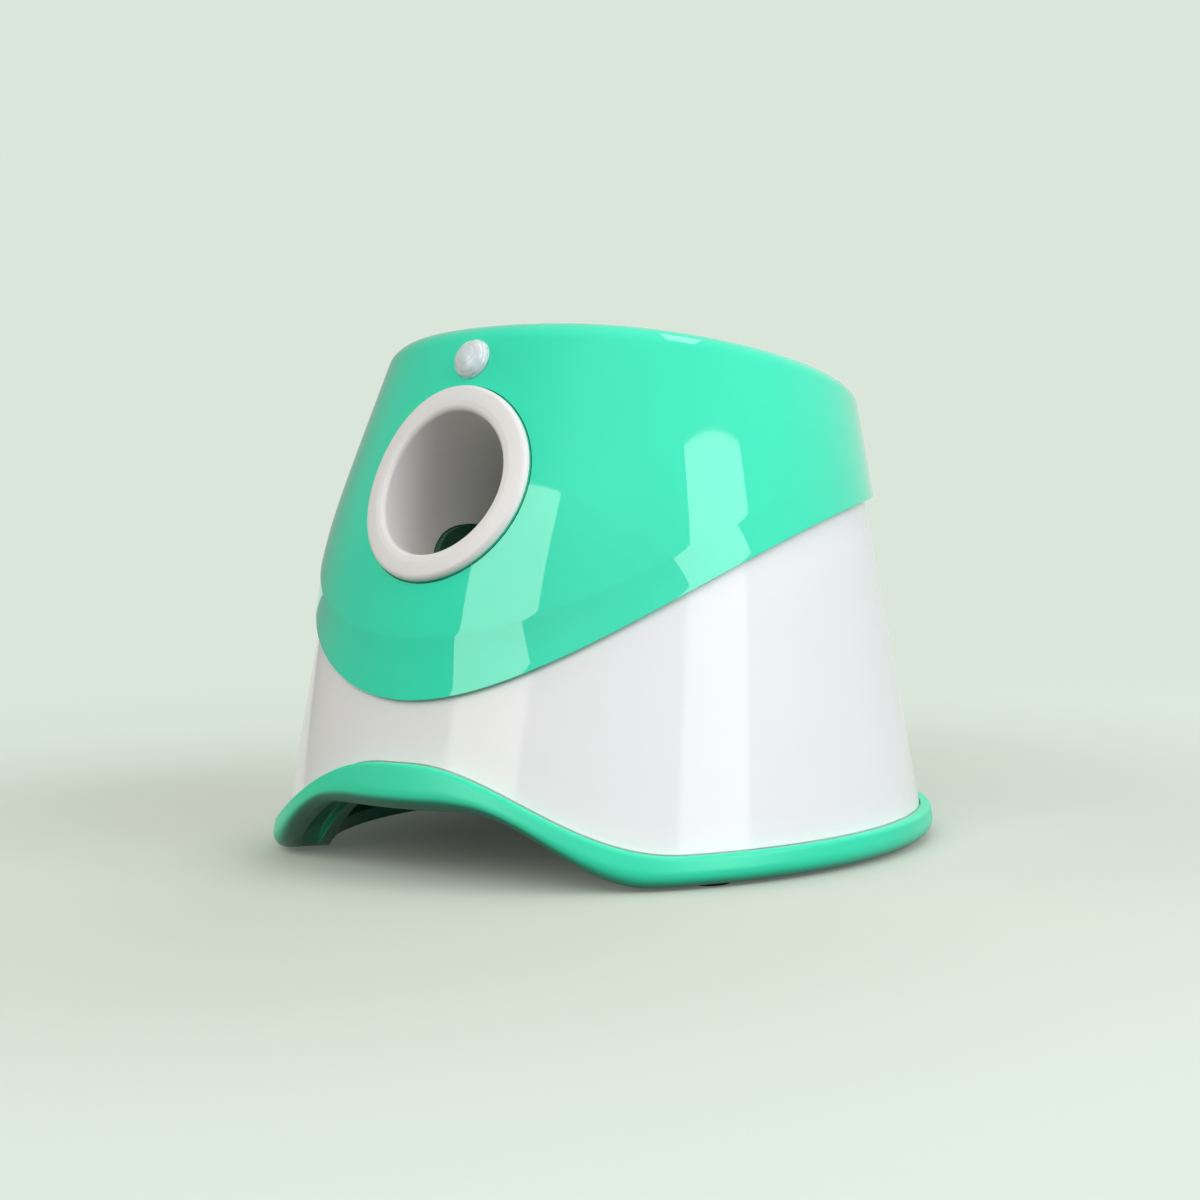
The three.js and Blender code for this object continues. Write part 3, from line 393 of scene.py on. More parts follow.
def metal(name, colour, roughness, stretch):
    finish = Finish(name, colour, roughness, Metallic=1.0)
    brush = finish.noise(120, 3, 0.6, stretch)
    stain = finish.between(finish.noise(40, 4, 0.6), 0.4, 0.8)
    base = finish.mix(stain, colour, shade(colour, 0.78))
    return finish.look(base, roughness + (brush - 0.5) * 0.2 + stain * 0.12, brush, 0.00001, 0.5)


def circuitBoard(name, colour):
    finish = Finish(name, colour, 0.4)
    track = finish.node("ShaderNodeTexBrick", inputs={
        "Vector": finish.place, "Scale": 240, "Mortar Size": 0.03, "Color1": (0, 0, 0, 1),
        "Color2": (0.25, 0.25, 0.25, 1), "Mortar": (1, 1, 1, 1),
    }, output="Fac")
    base = finish.mix(track, colour, shade(colour, 1.9))
    return finish.look(base, 0.35 + track * 0.15, track, 0.00003)


def cellSleeve(name, colour):
    finish = Finish(name, colour, 0.3, Coat_Weight=0.3, Coat_Roughness=0.1)
    wrinkle = finish.noise(70, 3, 0.5, (1, 4, 1))
    base = finish.mix(finish.between(wrinkle, 0.4, 0.7), colour, shade(colour, 1.5))
    return finish.look(base, 0.25 + wrinkle * 0.15, wrinkle, 0.0001, 0.4)


def milkyLens(name, colour):
    finish = Finish(name, colour, 0.28, Subsurface_Weight=0.5, Subsurface_Scale=0.004, Coat_Weight=0.4)
    cloud = finish.between(finish.noise(150, 2, 0.5), 0.3, 0.75)
    base = finish.mix(cloud, shade(colour, 0.86), colour)
    return finish.look(base, 0.14 + cloud * 0.08, cloud, 0.00006, 0.6)


def lightLens(name, colour):
    finish = Finish(name, colour, 0.15, Coat_Weight=0.5)
    swirl = finish.noise(700, 2)
    return finish.look(finish.mix(swirl, shade(colour, 0.8), colour), 0.12 + swirl * 0.1)


mint = (0.03, 0.80, 0.50)
materials = {
    "mint_gloss": glossPlastic("mintGloss", mint, 0.035, 0.6, 0.5),
    # mint_foot: under=0.26 paints shade onto the foot ring's down-facing faces
    "mint_foot": satinPlastic("mintFoot", (0.03, 0.75, 0.44), 0.34, 900, 0.00001, 0.03, under=0.26),
    "white_gloss": glossPlastic("whiteGloss", (0.875, 0.868, 0.872), 0.08, 0, 0.4, drift=0.012),
    "ring_white": glossPlastic("ringWhite", (0.81, 0.79, 0.775), 0.3, 0, 0.35, drift=0.012),
    "dark_green": satinPlastic("darkGreen", (0.016, 0.095, 0.055), 0.28),
    "black_rubber": rubber("blackRubber", (0.016, 0.016, 0.017)),
    "grey_plastic": satinPlastic("greyPlastic", (0.15, 0.16, 0.17), 0.5),
    "nylon": satinPlastic("nylon", (0.78, 0.73, 0.6), 0.42, 500),
    "acetal": satinPlastic("acetal", (0.7, 0.66, 0.53), 0.35, 700),
    "spring_steel": metal("springSteel", (0.55, 0.55, 0.57), 0.22, (1, 1, 9)),
    "plated_steel": metal("platedSteel", (0.5, 0.51, 0.53), 0.3, (9, 1, 1)),
    "board": circuitBoard("board", (0.015, 0.12, 0.045)),
    "cell_sleeve": cellSleeve("cellSleeve", (0.035, 0.045, 0.055)),
    "lens_white": milkyLens("milkyLens", (0.70, 0.78, 0.80)),
    "black_plastic": satinPlastic("blackPlastic", (0.018, 0.019, 0.021), 0.45, 1200),
    "light": lightLens("lightLens", (0.25, 0.8, 0.5)),
}
print("materials:", len(materials))


def paint(piece, finish):
    mesh = piece.data
    mesh.materials.clear()
    mesh.materials.append(materials[finish])
    mesh.polygons.foreach_set("material_index", [0] * len(mesh.polygons))


def dress(piece, slot, body, *nodes, finish=None):
    paint(piece, finish or slot)
    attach(piece, body)
    if nodes:
        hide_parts(*nodes)
    return piece


for part in frame["record"]["subparts"]:
    paint(frame["nodes"][part["node"]], part["material_slot"])

# The launch frame starts in the middle of the muzzle and runs back along the barrel
muzzle = {
    "height": 153.5 * mm, "tilt": 25, "bore": 30.3 * mm, "wall": 2.4 * mm, "flange": 41 * mm,
    "thick": 3.2 * mm, "depth": 75 * mm, "innerRound": 2.6 * mm, "outerRound": 2 * mm, "sides": 168,
    "hairline": 0.3 * mm, "sunkLip": 0.3 * mm, "underGap": 0.75 * mm, "seatGap": 0.35 * mm,
    "undercut": 2.6 * mm, "scarfGap": 0.3 * mm, "scarfReach": 100 * mm, "scarfTop": 40 * mm,
    "scarfHalf": 45 * mm,
    "scarf": ((24, 33.3), (26, 26.5), (29.5, 19.5), (33.5, 12), (37.3, 6), (41, 2), (45, -0.9), (49.8, -3.5),
              (55.6, -6), (61, -8.8), (67.5, -12.1), (80, -12.3)),
}
launch = Matrix.Translation(Vector(wallPoint(0, muzzle["height"], case["proud"]))) @ Matrix.Rotation(
    -math.pi / 2 - math.radians(muzzle["tilt"]), 4, "X")
axisBack = (launch.to_3x3() @ Vector((0, 0, 1))).normalized()
# The shell's colour carries a painted shadow line just outside the muzzle ring's flange
materials["mint_shell"] = glossPlastic("mintShell", mint, 0.035, 0.6, 0.5, joint=(
    tuple(launch.translation), tuple(axisBack), muzzle["flange"] + muzzle["hairline"]))


def wallFrame(angle, z, offset):
    span, turn = 10 * mm, 0.09
    up = Vector(wallPoint(angle, z + span, offset) - wallPoint(angle, z - span, offset)).normalized()
    side = Vector(wallPoint(angle + turn, z, offset) - wallPoint(angle - turn, z, offset)).normalized()
    out = side.cross(up).normalized()
    place = Matrix((up.cross(out), up, out)).transposed().to_4x4()
    return Matrix.Translation(Vector(wallPoint(angle, z, offset))) @ place


# Upper shell: one smooth wall with a soft crease a little above its lower edge, and the rolled rim
shell = {
    "stations": 288, "rows": 56, "rimRound": 6 * mm, "lipWidth": 10 * mm, "lipDepth": 5.5 * mm,
    "edgeRound": 0.5 * mm, "creaseHeight": 16 * mm, "creaseRise": 8 * mm, "risePower": 6,
    "creaseStep": 1.6 * mm, "creaseSpread": 1.5, "creaseBend": 2.2,
    "creaseShares": (0.06, 0.14, 0.24, 0.36, 0.48, 0.6, 0.7, 0.8, 0.88, 0.94, 0.975),
    "holdLine": 0.2 * mm, "wallStart": 1.4 * mm, "wallPower": 1.15, "lipFall": 2 * mm, "lipEdge": 2.6 * mm,
    "lensHole": 5.8 * mm, "lensSpan": 10 * mm, "holeGap": 0.4 * mm, "holeSpan": (-42 * mm, 50 * mm),
    "sensorReach": 52.92 * mm,
}


# The shell steps in softly below the crease, most of all at the front
def creaseAt(angles):
    turn = np.abs(np.arctan2(np.sin(angles), np.cos(angles)))
    high = shell["creaseHeight"] + shell["creaseRise"] * np.maximum(np.cos(turn), 0) ** shell["risePower"]
    return high, shell["creaseStep"] * np.cos(np.minimum(turn / shell["creaseSpread"], math.pi / 2)) ** 2


def cutter(name, radius, span, sides, place):
    return turned(name, [(0, span[0]), (radius, span[0]), (radius, span[1]), (0, span[1])], sides, place)


def caseSection(name, angles, section, sharp=30):
    return ringSurface(name, np.stack([wallPoint(angles, z, offset) for offset, z in section], 1), sharp)


def makeTopShell():
    angles = np.linspace(0, fullTurn, shell["stations"], endpoint=False)
    low = heightOn(edgeCurve, angles, case["proud"], edge["front"])
    top = heightOn(rimPlane, angles, case["proud"], case["rimHeight"])
    proud, gap, roll, bead = case["proud"], case["lapGap"], shell["rimRound"], shell["edgeRound"]
    thick, lip = proud - gap, shell["lipDepth"]
    high, step = creaseAt(angles)
    start = low + high + shell["holdLine"]
    wall = low + high + shell["wallStart"]
    inner = proud - shell["lipWidth"]
    # The outer face from its lower edge up, the roll and lip of the rim, then down the inner face
    section = [(proud - inset - step, low + lift) for lift, inset in
               ((0, bead), (bead * 0.15, bead * 0.5), (bead * 0.5, bead * 0.15))]
    section += [(proud - step * (1 - share ** shell["creaseBend"]), low + high * share)
                for share in shell["creaseShares"]]
    section.append((proud, start))
    section += [(proud, wall + (top - roll - wall) * share)
                for share in np.linspace(0, 1, shell["rows"]) ** shell["wallPower"]]
    section += arc(proud, top, roll, roll, quarter(14, 1))
    crest, fall = proud - roll, shell["lipFall"]
    section += [(crest + (inner - crest) * math.sin(bend), top - fall * (1 - math.cos(bend)))
                for bend in (math.pi / 2 * share for share in (0.5, 0.8, 0.95))]
    section += [(inner, top - shell["lipEdge"]), (inner, top - lip), (inner + thick, top - lip),
                (inner + thick, top - thick)]
    section += [(gap, low + (top - roll - low) * share) for share in np.linspace(1, 0, 40)]
    piece = caseSection("topShell", angles, section, 24)
    radius, span = muzzle["bore"] + muzzle["wall"] + shell["holeGap"], shell["lensSpan"]
    carve(piece, [
        cutter("holeCutter", radius, shell["holeSpan"], 96, launch),
        cutter("lensCutter", shell["lensHole"], (-span, span), 48, sensorPlace),
    ], sharp=24)
    return dress(piece, "mint_gloss", "case", "top_shell", finish="mint_shell")


# The lens sits this far up the launch frame, measured at right angles to the barrel
def sensorSeat():
    tilt = math.radians(muzzle["tilt"])
    start = wallPoint(0, muzzle["height"], case["proud"])
    low, high = muzzle["height"], case["rimHeight"] + 20 * mm
    for step in range(40):
        z = (low + high) / 2
        rise = wallPoint(0, z, case["proud"]) - start
        short = rise[1] * math.sin(tilt) + rise[2] * math.cos(tilt) < shell["sensorReach"]
        low, high = (z, high) if short else (low, z)
    return low


sensorPlace = wallFrame(0, sensorSeat(), case["proud"])
makeTopShell()
print("top shell made")

# Lower body: the white wall from the foot ring up under the shell, with the panel's window
foot = {
    "ledge": 4.6 * mm, "top": 12.8 * mm, "inner": 20 * mm, "round": 9.5 * mm, "curlIn": 10 * mm,
    "topRound": 1.4 * mm, "hollow": 6 * mm, "topRise": 33.6 * mm, "topCrown": 3, "topHalf": 52,
    "underRise": 27.2 * mm, "underCrown": 15, "underHalf": 46.5, "padHeight": 1.1 * mm, "stations": 360,
    "curlShare": 0.6, "roof": 1.4 * mm, "hollowRun": 0.3, "seatEdge": 0.3 * mm,
}
# Inwards from the ring's inner edge, then from the case wall: how deep the hollow underside is
flangeProfile = ((0, 0.08), (0.5 * mm, 0), (4.5 * mm, 0), (5 * mm, 0.08), (5.6 * mm, 0.85), (6.5 * mm, 1))
channelProfile = ((9.5 * mm, 1), (8.3 * mm, 0.85), (7 * mm, 0.4), (6.2 * mm, 0.12))
body = {
    "overlap": 10 * mm, "grooveDepth": 1.4 * mm, "grooveFrom": 0.9 * mm, "grooveTo": 0.25 * mm,
    "grooveRound": 0.08 * mm, "wallStart": 1.2 * mm, "bossRadius": 4 * mm, "bossLength": 10 * mm,
    "bossRound": 0.4 * mm, "bossInset": 3.6 * mm, "bossLift": 3.4 * mm, "bossAngles": (-70, 70, 125, 235),
    "panelAngle": 215, "panelHeight": 84 * mm,
    "window": (28 * mm, 17 * mm, 3.5 * mm, -40 * mm, 8 * mm, 0.01 * mm),
}


def archShare(angle, crown, half):
    fromFront = np.abs(np.arctan2(np.sin(angle), np.cos(angle)))
    reach = np.clip((fromFront - math.radians(crown)) / math.radians(half - crown), 0, 1)
    return (1 + np.cos(math.pi * reach)) / 2


def ringUnder(angle):
    return foot["padHeight"] + case["seatGap"] + foot["underRise"] * archShare(
        angle, foot["underCrown"], foot["underHalf"])


def ringTop(angle):
    return foot["top"] + foot["topRise"] * archShare(angle, foot["topCrown"], foot["topHalf"])


def bossPlace(degrees):
    angle, offset = math.radians(degrees), -case["wall"] - body["bossInset"]
    z = float(heightOn(panPlane, angle, offset, case["panHeight"])) + body["bossLift"]
    return Matrix.Translation(Vector(wallPoint(angle, z, offset)))


def makeLowerBody():
    angles = np.linspace(0, fullTurn, foot["stations"], endpoint=False)
    low = (ringUnder(angles) + ringTop(angles)) / 2 + case["seatGap"]
    top = heightOn(edgeCurve, angles, case["proud"], edge["front"]) + body["overlap"]
    seam, deep, small = ringTop(angles), body["grooveDepth"], body["grooveRound"]
    section = [(0, low), (0, seam - body["grooveFrom"]), (-deep, seam + 0.1 * mm - body["grooveFrom"]),
               (-deep, seam + body["grooveTo"]), (-0.06 * mm, seam + 0.02 * mm + body["grooveTo"]),
               (0, seam + small + body["grooveTo"])]
    start = seam + body["wallStart"]
    section += [(0, start + (top - start) * share) for share in np.linspace(0, 1, 44)]
    section += [(-case["wall"], low + (top - low) * share) for share in np.linspace(1, 0, 30)]
    piece = caseSection("lowerBody", angles, section)
    radius, length, rounding = body["bossRadius"], body["bossLength"], body["bossRound"]
    profile = softened([(0, 0, 0), (radius, 0, rounding), (radius, length, rounding), (0, length, 0)])
    carve(piece, [turned("boss", profile, 40, bossPlace(degrees)) for degrees in body["bossAngles"]], "UNION")
    carve(piece, [slab("windowCutter", *body["window"], panelPlace)])
    return dress(piece, "white_gloss", "case", "lower_body")


panelPlace = wallFrame(math.radians(body["panelAngle"]), body["panelHeight"], 0)
makeLowerBody()


def makeFootRing():
    angles = np.linspace(0, fullTurn, foot["stations"], endpoint=False)
    under, top = ringUnder(angles), ringTop(angles)
    seat = (under + top) / 2
    curl = np.minimum(foot["round"], (top - under) * foot["curlShare"])
    curlIn = curl * foot["curlIn"] / foot["round"]
    ledge, small = foot["ledge"], foot["topRound"]
    run = np.clip(archShare(angles, foot["underCrown"], foot["underHalf"]) / foot["hollowRun"], 0, 1)
    hollow = np.minimum(foot["hollow"], seat - under - foot["roof"]) * run * run * (3 - 2 * run)
    # The underside from the inside out, the curl under the edge, the outer face and the seat
    section = [(inset - foot["inner"], under + hollow * lift) for inset, lift in flangeProfile]
    section += [(-inset, under + hollow * lift) for inset, lift in channelProfile]
    section += arc(ledge, under, curlIn, -curl, quarter(20)[::-1])
    section += [(ledge, under + curl + (top - small - under - curl) * share) for share in (0.33, 0.67)]
    section += arc(ledge, top, small, small, quarter(8))
    section += [(case["seatGap"] + foot["seatEdge"], top), (case["seatGap"], top - foot["seatEdge"]),
                (case["seatGap"], seat), (-foot["inner"], seat)]
    piece = caseSection("footRing", angles, section, 34)
    # Painted shade: the underside attribute grows on faces that look down, most under the arch, and mint_foot
    # darkens the colour there
    normals, places = np.empty(len(piece.data.vertices) * 3), np.empty(len(piece.data.vertices) * 3)
    piece.data.vertices.foreach_get("normal", normals)
    piece.data.vertices.foreach_get("co", places)
    crown = archShare(np.arctan2(places[0::3], -places[1::3]), foot["underCrown"], foot["underHalf"])
    underside = piece.data.attributes.new("underside", "FLOAT", "POINT")
    underside.data.foreach_set("value", np.clip(-2.2 * normals[2::3] * (0.3 + 0.7 * crown), 0, 1))
    return dress(piece, "mint_gloss", "case", "foot_ring", finish="mint_foot")


makeFootRing()
print("lower body and foot ring made")


# Muzzle ring: its flange follows the shell, and the tube runs back to the barrel
def shellDepth(x, y):
    x, y = np.broadcast_arrays(x, y)
    turn = np.array(launch.to_3x3())
    origin = np.array(launch.translation)
    low, high = np.full(x.shape, -60 * mm), np.full(x.shape, 60 * mm)
    for step in range(36):
        middle = (low + high) / 2
        point = origin + np.stack([x, y, middle], -1) @ turn.T
        width = along(case["floorHalfWidth"], case["kneeHalfWidth"], case["rimHalfWidth"], point[..., 2])
        angle = np.arcsin(point[..., 0] / (width + case["proud"]))
        outside = point[..., 1] < wallPoint(angle, point[..., 2], case["proud"])[..., 1]
        low, high = np.where(outside, middle, low), np.where(outside, high, middle)
    return low


def makeMuzzleRing():
    angles = np.linspace(0, fullTurn, muzzle["sides"], endpoint=False)
    bore, flange, thick = muzzle["bore"], muzzle["flange"], muzzle["thick"]
    lip, rim, under, seat = muzzle["innerRound"], muzzle["outerRound"], muzzle["underGap"], muzzle["seatGap"]
    neck, depth = bore + muzzle["wall"], muzzle["depth"]
    face = bore + lip + 1.2 * mm
    # Each level is a radius and a height over the shell: up the bore's lip, over the face, under the rim
    levels = arc(bore, thick - muzzle["sunkLip"], -lip, lip, quarter(12))
    levels.append((face - 0.6 * mm, thick - 0.06 * mm))
    levels += [(face + (flange - rim - face) * share, thick) for share in (0.1, 0.5, 1)]
    levels += arc(flange, thick, rim, rim, quarter(8)[-2::-1])
    step = flange - muzzle["undercut"]
    levels += [(flange, under), (step, under), (step + 0.2 * mm, seat), (neck, seat)]
    tube = [(neck, depth), *((bore, depth * share) for share in (1, 0.75, 0.5, 0.25))]
    columns = []
    for radius, height in levels + tube:
        x, y = radius * np.cos(angles), radius * np.sin(angles)
        z = height if len(columns) >= len(levels) else shellDepth(x, y) - height
        columns.append(np.stack([x, y, z + 0 * x], -1))
    piece = ringSurface("muzzleRing", np.stack(columns, 1), 32)
    carve(piece, [scarf("scarfCutter", 0, muzzle["scarfReach"])], sharp=32)
    return dress(put(piece, launch), "white_gloss", "case", "muzzle_ring", finish="ring_white")


# Below and behind this line the white tube is cut away, and the barrel's lower front runs in its place
def scarf(name, gap, reach):
    line = [(z * mm + gap, y * mm + gap * 1.2) for z, y in muzzle["scarf"]]
    top, half = muzzle["scarfTop"], muzzle["scarfHalf"]
    outline = [*line, (reach, line[-1][1]), (reach, top), (line[0][0], top)]
    count = len(outline)
    points = [(side * half, y, z) for side in (-1, 1) for z, y in outline]
    faces = [tuple(range(count)), tuple(range(2 * count - 1, count - 1, -1))]
    faces += [(i, (i + 1) % count, count + (i + 1) % count, count + i) for i in range(count)]
    return tidyNormals(meshObject(name, points, faces))


makeMuzzleRing()

# Barrel and throat as fine tubes, cut where the ball drops in and where the striker's arm runs
tubes = {
    "barrelBore": 28 * mm, "barrelOuter": 31 * mm, "barrelStart": 75.3 * mm, "barrelEnd": 203.996 * mm,
    "tongueStart": 20 * mm, "tongueLap": 1 * mm, "edgeRound": 0.6 * mm, "dropLength": 40 * mm,
    "slotDepth": 40 * mm, "slotHalf": 4.5 * mm, "slotStart": 97.496 * mm, "slotEnd": 181.396 * mm,
    "pocket": 111.996 * mm, "throatBore": 29 * mm, "throatOuter": 31 * mm, "throatStart": 4.5 * mm,
    "throatTop": 42.6 * mm, "clearRadius": 31.3 * mm, "clearSpan": (40 * mm, 210 * mm),
}


def pipe(name, outer, inner, z0, z1, sides, place=None):
    edge = tubes["edgeRound"]
    corners = [(inner, z0, edge), (outer, z0, edge), (outer, z1, edge), (inner, z1, edge)]
    profile = softened(corners, 3, closed=True)
    return turned(name, profile + profile[:1], sides, place)


def makeTubes():
    acrossLaunch = launch @ Matrix.Translation((0, 0, tubes["pocket"])) @ Matrix.Rotation(math.pi / 2, 4, "X")
    outer, bore, start = tubes["barrelOuter"], tubes["barrelBore"], tubes["barrelStart"]
    barrel = pipe("barrelTube", outer, bore, start, tubes["barrelEnd"], 120, launch)
    drop = cutter("dropCutter", bore, (0, tubes["dropLength"]), 72, acrossLaunch)
    slot = block("slotCutter", (0, -tubes["slotHalf"], tubes["slotStart"]),
                 (tubes["slotDepth"], tubes["slotHalf"], tubes["slotEnd"]), launch)
    carve(barrel, [drop, slot])
    tongue = pipe("barrelTongue", outer, bore, tubes["tongueStart"], start + tubes["tongueLap"], 120)
    carve(tongue, [scarf("scarfKeeper", muzzle["scarfGap"], muzzle["scarfReach"])], "INTERSECT")
    carve(barrel, [put(tongue, launch)], "UNION")
    dress(barrel, "dark_green", "case", "barrel")
    ends = tubes["throatStart"], tubes["throatTop"]
    throat = pipe("throatTube", tubes["throatOuter"], tubes["throatBore"], *ends, 96, acrossLaunch)
    carve(throat, [cutter("barrelCutter", tubes["clearRadius"], tubes["clearSpan"], 96, launch)])
    dress(throat, "white_gloss", "case", "hopper_throat")


makeTubes()

# Hopper bowl: a smooth funnel from under the rolled rim to the throat
bowl = {"wall": 2.5 * mm, "flange": 1 * mm, "power": 1.8, "stations": 240, "rows": 26, "throatTop": 46 * mm}


def makeBowl():
    angles = np.linspace(0, fullTurn, bowl["stations"], endpoint=False)
    turn, origin = np.array(launch.to_3x3()), np.array(launch.translation)
    top = heightOn(rimPlane, angles, case["proud"], case["rimHeight"]) - shell["lipDepth"] - case["seatGap"]
    outer = wallPoint(angles, top, -bowl["flange"])
    inner = wallPoint(angles, top, case["proud"] - shell["lipWidth"] - bowl["flange"])

    def drain(level):
        local = np.stack([tubes["throatBore"] * np.sin(angles), np.full(angles.shape, -level),
                          tubes["pocket"] - tubes["throatBore"] * np.cos(angles)], -1)
        return origin + local @ turn.T

    def between(share):
        end = drain(bowl["throatTop"])
        point = inner + (end - inner) * share
        point[:, 2] = inner[:, 2] + (end[:, 2] - inner[:, 2]) * (1 - (1 - share) ** bowl["power"])
        return point

    down = np.array([0, 0, -bowl["wall"]])
    shares = np.linspace(0, 1, bowl["rows"])[1:-1]
    columns = [outer, inner, *[between(s) for s in shares], drain(bowl["throatTop"]),
               drain(bowl["throatTop"] - bowl["wall"]), *[between(s) + down for s in shares[::-1]],
               inner + down, outer + down]
    return dress(ringSurface("hopperBowl", np.stack(columns, 1), 40), "white_gloss", "case", "hopper_bowl")


makeBowl()
print("muzzle, tubes and bowl made")

# Motion sensor lens: a milky dome with a ring pattern of small facets
lens = {
    "radius": 8.4 * mm, "height": 5.5 * mm, "lift": 0.45 * mm, "stem": 5.5 * mm, "stemEnd": -6.7 * mm,
    "rows": (0, 0.34, 0.66, 0.95), "cells": (1, 6, 11), "groove": 0.16 * mm, "rimCrisp": 12,
    "flankCrisp": 34, "sides": 132, "rings": 44, "seat": 0.1 * mm, "bore": 4.3 * mm, "boreTop": 0.2 * mm,
    "boreDome": 3 * mm,
}


def facetSink(share, angle):
    sink = 0.0
    for row, (start, end) in enumerate(zip(lens["rows"], lens["rows"][1:])):
        if start <= share <= end:
            rim = min(share - start if row else 1, end - share) * lens["rimCrisp"]
            cells = lens["cells"][row]
            swing = (angle * cells / fullTurn + row / 2) % 1
            flank = 1 if cells == 1 else min(swing, 1 - swing) * share * lens["flankCrisp"] / cells
            sink = lens["groove"] * (2 - min(1, rim) - min(1, flank))
    return sink


def makeLens():
    rings, loops = lens["rings"], []
    foot = ((lens["radius"], lens["seat"]), (lens["stem"], lens["seat"]), (lens["stem"], lens["stemEnd"]),
            (lens["bore"], lens["stemEnd"]), (lens["bore"], lens["boreTop"]), (0, lens["boreDome"]))
    for angle in np.linspace(0, fullTurn, lens["sides"], endpoint=False):
        section = []
        for ring in range(rings + 1):
            share = ring / rings
            bend, sink = (1 - share) * math.pi / 2, facetSink(share, angle)
            section.append(((lens["radius"] - sink) * math.cos(bend),
                            lens["lift"] + (lens["height"] - sink) * math.sin(bend)))
        loops.append([(r * math.cos(angle), r * math.sin(angle), z) for r, z in (*section, *foot)])
    piece = put(ringSurface("sensorLens", loops, 50, closed=False), sensorPlace)
    return dress(piece, "lens_white", "case", "sensor_lens")


makeLens()


# Geometry Nodes for what repeats: each group works on the points of its own mesh
class Grower(NodeWork):
    def __init__(self, name, sizes):
        super().__init__(bpy.data.node_groups.new(name, "GeometryNodeTree"))
        face = self.tree.interface
        face.new_socket("Geometry", in_out="INPUT", socket_type="NodeSocketGeometry")
        self.sockets = {}
        for key, value in sizes.items():
            kind = "NodeSocketInt" if isinstance(value, int) else "NodeSocketFloat"
            self.sockets[key] = (face.new_socket(key, in_out="INPUT", socket_type=kind), value)
        face.new_socket("Geometry", in_out="OUTPUT", socket_type="NodeSocketGeometry")
        self.source = self.tree.nodes.new("NodeGroupInput")

    def size(self, *keys):
        found = [Value(self.tree, self.source.outputs[key]) for key in keys]
        return found if len(found) > 1 else found[0]

    def make(self, kind, **inputs):
        named = {key.replace("_", " "): value for key, value in inputs.items()}
        return self.node(f"GeometryNode{kind}", inputs=named)

    def offset(self, x=0.0, y=0.0, z=0.0):
        return self.node("ShaderNodeCombineXYZ", inputs={"X": x, "Y": y, "Z": z})

    def moved(self, geometry, **place):
        return self.make("Transform", Geometry=geometry, Translation=self.offset(**place))

    def rod(self, radius, depth, sides=32):
        return self.make("MeshCylinder", Vertices=sides, Radius=radius, Depth=depth)

    def box(self, x, y, z):
        return self.make("MeshCube", Size=self.offset(x, y, z))

    def circle(self, radius, sides):
        return self.make("CurvePrimitiveCircle", Resolution=sides, Radius=radius)

    def swept(self, curve, section, caps=True):
        return self.make("CurveToMesh", Curve=curve, Profile_Curve=section, Fill_Caps=caps)

    def spiral(self, radius, rotations, height, steps):
        return self.make("CurveSpiral", Resolution=steps, Rotations=rotations, Start_Radius=radius,
                         End_Radius=radius, Height=height)

    def cut(self, operation, **meshes):
        inputs = {key.replace("mesh", "Mesh "): one for key, one in meshes.items()}
        return self.node("GeometryNodeMeshBoolean", {"operation": operation, "solver": "EXACT"}, inputs)

    def together(self, *pieces):
        return self.make("JoinGeometry", Geometry=list(pieces))

    def finish(self, geometry, slot):
        spread = self.make("InstanceOnPoints", Points=self.size("Geometry"), Instance=geometry)
        solid = self.make("RealizeInstances", Geometry=spread)
        solid = self.make("SetMaterial", Geometry=solid, Material=materials[slot])
        self.tree.links.new(solid.socket, self.tree.nodes.new("NodeGroupOutput").inputs[0])

    def grow(self, name, points, place=None, sharp=35):
        piece = meshObject(name, points, [])
        modifier = piece.modifiers.new("grow", "NODES")
        modifier.node_group = self.tree
        for socket, value in self.sockets.values():
            modifier[socket.identifier] = value
        return smooth(put(evaluated(piece), place), sharp)


# Pan-head screws with a cross recess: the heads point down, and each point lies where a head meets its shank
screw = {"headRadius": 3 * mm, "headHeight": 2 * mm, "shank": 1.3 * mm, "slotWide": 0.75 * mm}
tipGap = 0.4 * mm


def screwGroup(name, length):
    grower = Grower(name, {**screw, "length": length})
    radius, height, shank, slotWide, length = grower.size(*screw, "length")
    head = grower.moved(grower.rod(radius, height, 48), z=height * -0.5)
    dome = grower.make("MeshUVSphere", Segments=48, Rings=24, Radius=radius * 1.35)
    head = grower.cut("INTERSECT", mesh2=[head, grower.moved(dome, z=height * -1 + radius * 0.98)])
    reach, depth = radius * 1.15, height * 1.1
    bars = [grower.moved(grower.box(x, y, depth), z=height * -1)
            for x, y in ((reach, slotWide), (slotWide, reach))]
    head = grower.cut("DIFFERENCE", mesh1=head, mesh2=[grower.together(*bars)])
    rod = grower.moved(grower.rod(shank, length, 24), z=length * 0.5)
    thread = grower.swept(grower.spiral(shank, 6.0, length * 0.85, 20), grower.circle(shank * 0.12, 6))
    grower.finish(grower.together(head, rod, grower.moved(thread, z=length * 0.1)), "plated_steel")
    return grower


def localBox(node, place):
    points = np.array([place.inverted() @ v.co for v in frame["nodes"][node].data.vertices])
    return Vector(points.min(0)), Vector(points.max(0))


def growScrews(name, nodes, place=Matrix.Identity(4)):
    spots, height = [], screw["headHeight"]
    for node in nodes:
        low, high = localBox(node, place)
        spots.append(((low.x + high.x) / 2, (low.y + high.y) / 2, low.z + height))
    group = screwGroup(name, high.z - low.z - height - tipGap)
    return dress(group.grow(name, spots, place), "plated_steel", "case", *nodes)


gearAxle = (66.3 * mm, 0, 145.996 * mm)  # in the launch frame
gearFrame = launch @ Matrix.Translation(gearAxle) @ Matrix.Rotation(-math.pi / 2, 4, "X")
growScrews("panScrews", [f"pan_screw_{i}" for i in (1, 2, 3, 4)])
growScrews("gearboxScrews", [f"gearbox_screw_{i}" for i in (1, 2, 3)], gearFrame)


